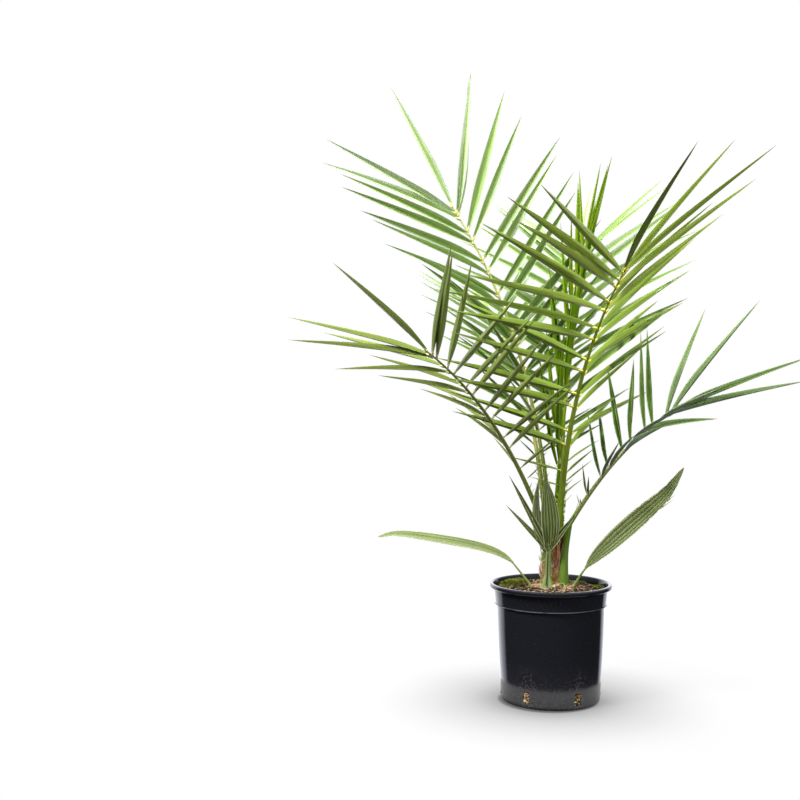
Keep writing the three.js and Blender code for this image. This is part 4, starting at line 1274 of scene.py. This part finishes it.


# A pleated blade along a path. Its upper side has pleats that run from foot to tip. The strips tint each
# pleat's four faces, painted light and shade across the pleats.
def addPleated(heap, path, reach, half, face, fold, pleats, strips, dice, dryTip=0.97, darkFoot=0.0):
    along = unit(np.gradient(path, axis=0))
    across = unit(np.cross(along, face))
    out = np.cross(across, along)
    columns = pleats * 4 + 1
    t = np.linspace(-1, 1, columns)
    ridge = 1 - abs((t * pleats) % 2 - 1)                 # 0 in a pleat's valley and 1 on its ridge
    upper = np.stack([t, ridge], 1)
    strip = np.concatenate([upper, upper[::-1]])
    isLower = np.arange(len(strip)) >= columns
    depth = np.clip(half * 0.11, 0.05, 1.5)
    thick = np.minimum(0.5, half * 0.3)
    sideways = half[:, None] * strip[:, 0] * math.cos(math.radians(fold))
    outwards = (half[:, None] * abs(strip[:, 0]) * math.sin(math.radians(fold))
                + depth[:, None] * strip[:, 1] - thick[:, None] * isLower)
    rings = path[:, None] + across[:, None] * sideways[:, :, None] + out[:, None] * outwards[:, :, None]
    n = finishNumber
    row = [n[strips[j % 4]] if j < columns - 1 else n["lower"] for j in range(len(strip))]
    for j in (0, columns - 2, columns - 1, -1):
        row[j] = n["margin"]
    finish = np.tile(row, (len(path) - 1, 1))
    gone = (reach[:-1] - reach[0]) / (reach[-1] - reach[0])
    streaks = darkFoot * (0.35 + 0.9 * abs(np.sin(1.7 * np.arange(len(strip)))))
    for lighter, darker in (("upperB", "upperD"), ("upperA", "upperB"), ("upperC", "upperA")):
        finish[(gone[:, None] < streaks) & (np.array(row) == n[lighter])] = n[darker]
    finish[reach[:-1] > reach[-1] * dryTip] = n["dry"]
    addLoft(heap, rings, finish, across=strip[:, 0] * half.max(), along=reach + dice.uniform(0, 500))


def makeStrap(name, strap):
    dice = random.Random(name)
    heap = newHeap()
    path, reach = smoothPath(strap["path"], 60)
    share = reach / reach[-1]
    face = unit(np.array(strap["facing"]))
    blade = np.clip((share - strap["bladeFrom"]) / (1 - strap["bladeFrom"]), 0, 1)
    half = strap["width"] / 2 * np.sin(np.pi * blade ** 0.82) ** strap["taper"]
    first = np.argmax(share > strap["bladeFrom"]) - 1
    if strap["frayed"]:                                     # a notched edge towards the tip
        half = half * (1 - 0.06 * (np.sin(share * 90) > 0.6) * (share > 0.6))
    half = np.maximum(half, np.where(share < 0.5, strap["stalk"] / 2, 0.3))
    # start the stalk a little below the soil's surface
    stalkPath = np.concatenate([[path[0] - [0, 0, 5]], path[:first + 5]])
    size = np.concatenate([[1.25], np.linspace(1.15, 0.5, first + 5)]) * strap["stalk"] / 2
    addTube(heap, stalkPath, size, finishNumber["stalk"], 10, 0.8)
    # the strips paint each pleat's rising faces lighter and its falling faces darker, as light and shade
    addPleated(heap, path[first:], reach[first:], half[first:], face, strap["fold"], strap["pleats"],
               ("upperC", "upperA", "upperB", "upperB"), dice)
    if strap["frayed"]:
        for at, length in ((0.76, 22), (0.8, 14)):
            k = int(at * 59)
            along = unit(path[k + 1] - path[k])
            side = unit(np.cross(along, face))
            tilt = math.radians(strap["fold"])
            edge = path[k] + (side * math.cos(tilt) + np.cross(side, along) * math.sin(tilt)) * half[k] * 0.97
            aim = unit(along + side * 0.16)
            addPeg(heap, "spine", edge - along * 3, aim, length, 0.7, finishNumber["lower"])
    title = pieceTitle(name)
    dress(makePiece(title[0].lower() + title[1:], heap, leafKinds[strap["look"]], 40), "juvenile", name)


def makeSplitLeaf():
    dice = random.Random(31)
    heap = newHeap()
    fork = np.array(splitLeaf["fork"], float)
    foot = np.array([*splitLeaf["foot"], soilTop - 5])
    wide, deep = splitLeaf["stalk"]
    angles = roundAngles(24)
    groove = 1 - 0.3 * np.exp(-((np.degrees(angles) - 262) / 20) ** 2)      # a channel down its front, painted dark as shade
    rings = []
    for share in np.linspace(0, 1, 22):
        flare = 0.84 + 1.5 * (1 - smooth(share / 0.55)) ** 1.6       # it widens into the soil
        middle = lerp(foot, fork, share)
        rings.append([middle + (math.cos(a) * wide / 2 * flare * g, math.sin(a) * deep / 2 * flare * g, 0)
                      for a, g in zip(angles, groove)])
    columns = np.full(24, finishNumber["base"])
    columns[[15, 18, 19]] = finishNumber["lower"]        # pale edges of the channel
    finish = np.tile(columns, (21, 1))
    # the darkest tint down the middle of the channel is painted shade in the groove
    finish[4:, 16] = finish[:, 17] = finishNumber["upperD"]
    addLoft(heap, rings, finish, across=abs(angles - math.pi) * 4, along=np.linspace(0, 70, 22))
    shape = dict(leaflet, widest=0.36, rootWidth=0.5, fold=30, dryShare=1.0)
    for blade in splitLeaf["blades"]:
        shape["darker"] = blade["darker"]
        aim = np.array(blade["reach"], float)
        length = np.linalg.norm(aim)
        addLeaflet(heap, fork - aim * 0.06, aim / length, unit(np.array(blade["facing"])), length * 1.06,
                   blade["width"], shape, dice)
    for blade in splitLeaf["broad"]:
        aim = np.array(blade["reach"], float)
        start = fork + blade["start"] - aim * 0.08
        end = fork + blade["start"] + aim
        bow = np.array([blade["bow"], 0, 0])
        bends = [lerp(start, end, 0.35) + bow, lerp(start, end, 0.7) + bow * 0.8]
        path, reach = smoothPath([start, *bends, end], 44)
        share = reach / reach[-1]
        half = blade["width"] / 2 * np.sin(np.pi * np.clip(share, 0.02, 0.995) ** 0.88) ** 0.95
        addPleated(heap, path, reach, half, unit(np.array(blade["facing"])), 8, blade["pleats"],
                   blade["strips"], dice, 0.965, darkFoot=0.34)
    dress(makePiece("splitLeaf", heap, leafKinds["juvenile"], 40), "juvenile", "split_leaf")


for name, strap in straps.items():
    makeStrap(name, strap)
makeSplitLeaf()
print("juvenile leaves ready")
